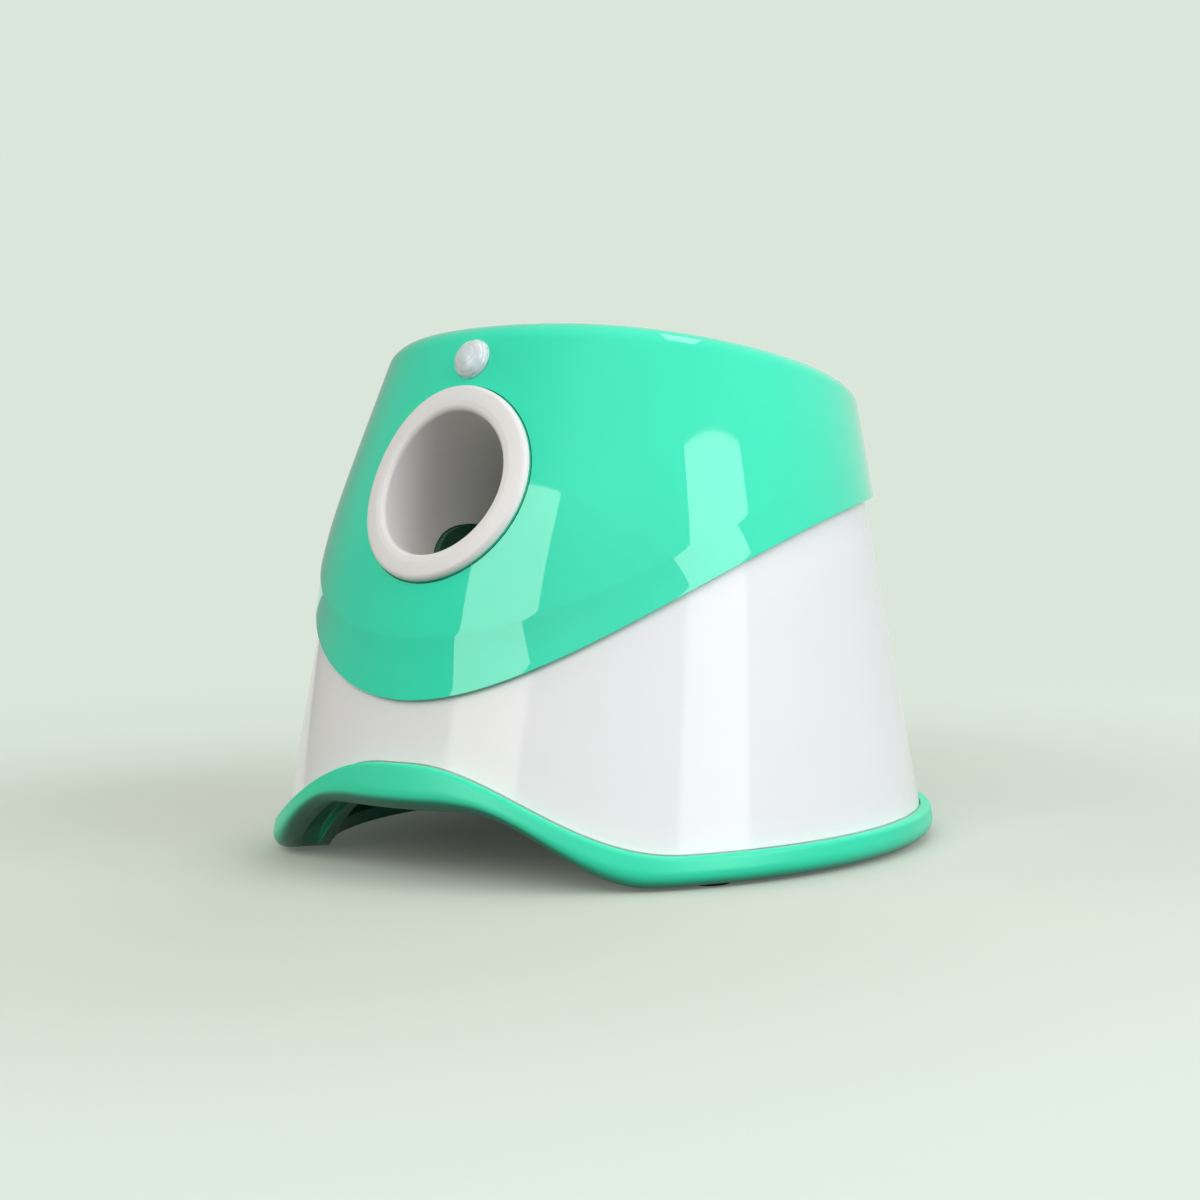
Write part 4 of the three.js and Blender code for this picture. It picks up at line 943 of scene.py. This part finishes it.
def growPads():
    nodes, spots = [f"foot_pad_{i}" for i in (1, 2, 3, 4)], []
    for node in nodes:
        low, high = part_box(node)
        spots.append(((low.x + high.x) / 2, (low.y + high.y) / 2, 0))
    sizes = {"radius": 7.5 * mm, "height": foot["padHeight"], "groove": 0.35 * mm, "rings": 4}
    grower = Grower("footPads", sizes)
    radius, height, groove, count = grower.size("radius", "height", "groove", "rings")
    base = grower.moved(grower.rod(radius, height - groove, 64), z=(height + groove) * 0.5)
    line = grower.make("MeshLine", Count=count, Start_Location=(0, 0, 0), Offset=(0, 0, 0))
    size = (count - grower.make("InputIndex")) / count * 0.93
    ring = grower.swept(grower.circle(radius, 64), grower.circle(groove, 10), False)
    rings = grower.make("InstanceOnPoints", Points=line, Instance=ring, Scale=grower.offset(size, size, 1.0))
    grower.finish(grower.together(base, grower.moved(rings, z=groove)), "black_rubber")
    return dress(grower.grow("footPads", spots), "black_rubber", "case", *nodes)


growPads()

spring = {"wire": 1.3 * mm, "radius": 14.5 * mm, "turns": 6.5, "endTurns": 0.75, "endShare": 1.6}


# A coil with closed ends between the striker and the barrel's end, made at its resting length
def growSpring():
    low, high = localBox("launch_spring", launch)
    length = high.z - low.z
    sizes = {key: spring[key] for key in ("wire", "radius", "turns")}
    grower = Grower("launchSpring", {**sizes, "length": length - 2 * spring["wire"]})
    wire, radius, turns, run = grower.size("wire", "radius", "turns", "length")
    section, end, few = grower.circle(wire, 14), wire * spring["endShare"], spring["endTurns"]
    coils = [grower.moved(grower.swept(grower.spiral(radius, count, height, 48), section), z=lift)
             for count, height, lift in ((few, end, 0.0), (turns, run - end * 2, end), (few, end, run - end))]
    grower.finish(grower.together(*coils), "spring_steel")
    place = launch @ Matrix.Translation((0, 0, low.z + spring["wire"]))
    piece = grower.grow("launchSpring", [(0, 0, 0)], place, 60)
    dress(piece, "spring_steel", "case", "launch_spring")
    travel = next(joint["range_m"][1] for joint in frame["joints"] if joint["name"] == "striker_slide")
    (length - travel) / length
    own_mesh(piece)


growSpring()
print("screws, pads and spring grown")

# Battery door: a soft-edged plate in the sloping floor, with finger ridges near its rear end
door = {"corner": 3 * mm, "edgeRound": 0.6 * mm, "ridges": 6, "ridgeStart": 9 * mm, "ridgeStep": 3.2 * mm}
panTilt = math.atan(case["panFall"] / (2 * case["floorHalfDepth"]))
panMiddle = (-66 * mm, case["originShift"], panPlane(0))
panFrame = Matrix.Translation(panMiddle) @ Matrix.Rotation(-panTilt, 4, "X")


def makeDoor():
    low, high = localBox("battery_door", panFrame)
    middle, size = (low + high) / 2, high - low
    place = panFrame @ Matrix.Translation((middle.x, middle.y, 0)) @ Matrix.Rotation(math.pi, 4, "X")
    plate = slab("doorPlate", size.x / 2, size.y / 2, door["corner"], 0, size.z, door["edgeRound"], place)
    grower = Grower("doorRidges", {"long": 26 * mm, "wide": 1.2 * mm, "tall": 0.7 * mm})
    grower.finish(grower.box(*grower.size("long", "wide", "tall")), "dark_green")
    start, step = door["ridgeStart"] - size.y / 2, door["ridgeStep"]
    spots = [(0, start + i * step, size.z) for i in range(door["ridges"])]
    ridges = grower.grow("doorRidges", spots, place)
    return dress(joined("batteryDoor", [plate, ridges]), "dark_green", "battery_door", "battery_door")


makeDoor()

# Control panel: a bezel with rounded corners, domed buttons with plain signs, lamps and the inlet
panel = {
    "button": 6 * mm, "lamp": 1.5 * mm, "inlet": 5.5 * mm, "gap": 0.3 * mm, "half": (27.7 * mm, 16.7 * mm),
    "corner": 3.2 * mm, "back": -9 * mm, "proud": 0.25 * mm, "edgeRound": 0.8 * mm, "holeStart": -15 * mm,
    "holeOver": 0.2 * mm, "buttonLead": 0.5 * mm, "lead": 0.25 * mm, "leadSlope": 1.2, "crown": 0.9 * mm,
    "dish": 0.45 * mm, "dishShare": 0.8, "collar": 1.2 * mm, "collarHigh": 1.4 * mm, "signSink": 0.2 * mm,
    "signRise": 0.16 * mm, "arc": 1.9 * mm, "arcGap": 0.7, "lineWide": 0.45 * mm,
    "lineSpan": (0.4 * mm, 2.5 * mm), "barWide": 0.7 * mm, "barStep": 1.4 * mm, "barStart": -1.6 * mm,
    "bars": (1.2 * mm, 2.2 * mm, 3.2 * mm),
    "domeDrop": 0.5 * mm, "domeHigh": 0.75 * mm, "inletBore": 3 * mm, "inletFloor": 1 * mm, "pin": 1 * mm,
    "pinDrop": 1.6 * mm, "pinTip": 1.2 * mm, "inletRound": 0.5 * mm,
}
fitted = {
    "button": ("power_button", "range_button"), "lamp": ("range_light_1", "range_light_2", "range_light_3"),
    "inlet": ("power_inlet",),
}


def panelSpot(node):
    low, high = localBox(node, panelPlace)
    middle = (low + high) / 2
    return low.z, high.z, panelPlace @ Matrix.Translation((middle.x, middle.y, 0))


def makeBezel():
    face = max(panelSpot(node)[1] for node in ("control_panel", *fitted["lamp"])) + panel["proud"]
    sizes = (*panel["half"], panel["corner"], panel["back"], face, panel["edgeRound"])
    plate = slab("bezel", *sizes, panelPlace)
    start, over, holes = panel["holeStart"], face + panel["holeOver"], []
    for kind, nodes in fitted.items():
        lead, wide = panel["buttonLead" if kind == "button" else "lead"], panel[kind] + panel["gap"]
        rim = wide + lead * panel["leadSlope"]
        profile = [(0, start), (wide, start), (wide, face - lead), (rim, over), (0, over)]
        holes += [turned("holeCutter", profile, 72, panelSpot(node)[2]) for node in nodes]
    carve(plate, holes)
    dress(plate, "black_plastic", "case")


def makeButton(name):
    base, top, place = panelSpot(name)
    radius, crown, dish, level = panel["button"], panel["crown"], panel["dish"], base + panel["collarHigh"]
    wide = radius + panel["collar"]
    profile = [(0, base), (wide, base), (wide, level), (radius, level)]
    profile += arc(radius, top, crown, crown, quarter(7))
    profile += [(radius * share * panel["dishShare"], top - dish * (1 - share ** 2))
                for share in np.linspace(1, 0, 9)]
    dress(turned(f"{name}Cap", profile, 96, place, 45), "mint_gloss", name, name)
    if name == "power_button":
        turns = np.linspace(panel["arcGap"], fullTurn - panel["arcGap"], 40)
        ring = [(panel["arc"] * math.sin(turn), panel["arc"] * math.cos(turn)) for turn in turns]
        lines, wide = [ring, [(0, y) for y in panel["lineSpan"]]], panel["lineWide"]
    else:
        lines, wide = [], panel["barWide"]
        for i, tall in enumerate(panel["bars"]):
            x, y = (i - 1) * panel["barStep"], panel["barStart"]
            lines.append([(x, y), (x, y + tall)])
    signs = [stripe(line, wide, top - dish, place) for line in lines]
    dress(joined(name.replace("_button", "Sign"), signs), "white_gloss", name)


def stripe(line, wide, z, place):
    line = np.array(line)
    run = np.gradient(line, axis=0)
    run /= np.linalg.norm(run, axis=1)[:, None]
    side = np.stack([-run[:, 1], run[:, 0]], 1) * wide / 2
    low, high = -panel["signSink"], panel["signRise"]
    corners = ((1, low), (-1, low), (-1, high), (1, high))
    points = [(*(spot + way * swing), z + lift) for spot, way in zip(line, side) for swing, lift in corners]
    end = len(points) - 4
    faces = [(0, 1, 2, 3), (end, end + 1, end + 2, end + 3)]
    for start in range(0, end, 4):
        faces += [(start + i, start + (i + 1) % 4, start + 4 + (i + 1) % 4, start + 4 + i) for i in range(4)]
    return put(tidyNormals(meshObject("signLine", points, faces)), place)


def makeLamp(name):
    base, top, place = panelSpot(name)
    radius, level = panel["lamp"], top - panel["domeDrop"]
    dome = [(radius * math.cos(bend), level + panel["domeHigh"] * math.sin(bend)) for bend in quarter(7)]
    dress(turned(f"lamp{name[-1]}", [(0, base), (radius, base), *dome], 40, place, 45), "light", "case", name)


def makeInlet():
    base, top, place = panelSpot("power_inlet")
    radius, bore, pin, edge = panel["inlet"], panel["inletBore"], panel["pin"], panel["inletRound"]
    low = base + panel["inletFloor"]
    ring = softened([
        (0, base, 0), (radius, base, 0), (radius, top, edge), (bore, top, edge), (bore, low, 0),
        (pin, low, 0), (pin, top - panel["pinDrop"], edge), (0, top - panel["pinTip"], 0),
    ], 4)
    dress(turned("powerInlet", ring, 72, place, 40), "black_plastic", "case", "power_inlet")


makeBezel()
for button in fitted["button"]:
    makeButton(button)
for light in fitted["lamp"]:
    makeLamp(light)
makeInlet()
print("door and panel made")

# Camera where the photo was taken, lights, floor
view = {
    "place": (0.61232, -0.74281, 0.15730), "azimuth": 39.5023, "pitch": 3.3647, "roll": -2.0,
    "lens": 67.734, "backdrop": (0.708, 0.791, 0.708), "floorHalf": 6.0,
}


def makeCamera():
    a, p, r = (math.radians(view[key]) for key in ("azimuth", "pitch", "roll"))
    ahead = Vector((-math.sin(a) * math.cos(p), math.cos(a) * math.cos(p), -math.sin(p)))
    right = Vector((math.cos(a), math.sin(a), 0))
    up = right.cross(ahead)
    right, up = right * math.cos(r) + up * math.sin(r), up * math.cos(r) - right * math.sin(r)
    camera = linked("photoCamera", bpy.data.cameras.new("photoCamera"))
    turn = Matrix((right, up, -ahead)).transposed().to_4x4()
    camera.matrix_world = Matrix.Translation(view["place"]) @ turn
    camera.data.lens, camera.data.sensor_width = view["lens"], 36
    camera.data.clip_start, camera.data.clip_end = 0.01, 50
    bpy.context.scene.camera = camera


def areaLight(name, azimuth, elevation, distance, width, height, level, colour=(1.0, 1.0, 1.0),
              roll=0, mirrored=True, diffuse=True):
    a, e = math.radians(azimuth), math.radians(elevation)
    way = Vector((math.sin(a) * math.cos(e), -math.cos(a) * math.cos(e), math.sin(e)))
    lamp = bpy.data.lights.new(name, "AREA")
    lamp.shape, lamp.size, lamp.size_y = "RECTANGLE", width, height
    lamp.energy = level * math.pi * width * height  # level is the radiance, next to white's 1
    lamp.color = colour
    piece = linked(name, lamp)
    piece.location = Vector((0, 0, 0.12)) + way * distance
    spin = Matrix.Rotation(math.radians(roll), 3, "Z")
    piece.rotation_euler = ((-way).to_track_quat("-Z", "Y").to_matrix() @ spin).to_euler()
    piece.visible_glossy, piece.visible_diffuse = mirrored, diffuse


# The boxes give the highlights, the fills the light
areaLight("rightBox", 76.0, 19.0, 1.7, 0.79, 1.4, 2.7, (0.97, 1.0, 1.04), -10.5, diffuse=False)
areaLight("leftBox", -10.9, 18.9, 1.7, 0.79, 1.29, 2.6, (1.0, 0.98, 0.95), 7.1, diffuse=False)
areaLight("topBox", 135, 72, 1.6, 0.95, 0.3, 2.6)
areaLight("sideFill", 92, 25, 1.8, 1.4, 1.2, 3.75, (0.97, 1.0, 1.04), mirrored=False)
areaLight("frontFill", 18, 30, 1.8, 1.3, 1.2, 2.4, mirrored=False)
areaLight("leftFill", -55, 22, 1.8, 1.0, 1.0, 2.5, (1.0, 0.97, 0.82), mirrored=False)
areaLight("backFill", 195, 26, 1.8, 1.4, 1.0, 2.4, mirrored=False)


def makeWorld():
    world = bpy.data.worlds.new("studio")
    bpy.context.scene.world = world
    world.use_nodes = True
    work = NodeWork(world.node_tree)
    way = work.node("ShaderNodeTexCoord", output="Generated")
    # A dark flag stands on the launcher's right-hand side, and the room grows brighter overhead
    flag = work.between(work.across("DOT_PRODUCT", way, (-0.94, -0.34, 0), 1), 0.05, 0.8)
    height = work.between(work.node("ShaderNodeSeparateXYZ", inputs={0: way}, output=2), 0.0, 0.9)
    room = work.mix(height, (0.36, 0.36, 0.36), (0.42, 0.42, 0.42))
    room = work.mix(work.asks("Glossy"), room, view["backdrop"])
    room = work.mix(flag, room, (0.27, 0.27, 0.26))
    seen = work.asks("Camera").math("MAXIMUM", work.asks("Transmission"))
    colour = work.mix(seen, room, view["backdrop"])
    work.tree.links.new(colour.socket, work.tree.nodes["Background"].inputs["Color"])


# Paper that glows like the backdrop away from the launcher, so that only its shadow shows; close to the launcher
# it carries painted shade and a little painted light
def makeFloor():
    finish = Finish("floorPaper", view["backdrop"], 0.9, Specular_IOR_Level=0.1)
    radius, bounce = finish.across("LENGTH", finish.place, output=1), finish.asks("Diffuse")
    # Painted light: close to the launcher the paper still glows a little, which lifts its shadow; far off it glows
    # fully like the backdrop
    share = finish.between(radius, 0.3, 0.85) * 0.86 + finish.between(radius, 0.05, 0.17) * 0.08 + 0.06
    # Painted shade: the paper's colour is darker within about 0.2 to 0.6 m of the launcher
    paper = finish.mix(finish.between(radius, 0.2, 0.6), (0.63, 0.67, 0.59), view["backdrop"])
    # Diffuse rays see the paper dark grey, so it throws little light back onto the launcher
    finish.feed("Base Color", finish.mix(bounce, paper, (0.13, 0.13, 0.125)))
    finish.bump(finish.noise(300, 2), 0.00004)
    glow = finish.node("ShaderNodeEmission", inputs={"Color": (*view["backdrop"], 1), "Strength": 1.0})
    lit = Value(finish.tree, finish.shader.outputs[0])
    blend = finish.node("ShaderNodeMixShader", inputs={0: share * (1 - bounce), 1: lit, 2: glow})
    finish.tree.links.new(blend.socket, finish.tree.nodes["Material Output"].inputs["Surface"])
    half = view["floorHalf"]
    corners = [(-half, -half, 0), (half, -half, 0), (half, half, 0), (-half, half, 0)]
    floor = meshObject("studioFloor", corners, [(0, 1, 2, 3)])
    floor.data.materials.append(finish.material)


makeCamera()
makeWorld()
makeFloor()
bpy.context.scene.view_settings.view_transform = "Standard"
print("camera, lights and floor made")
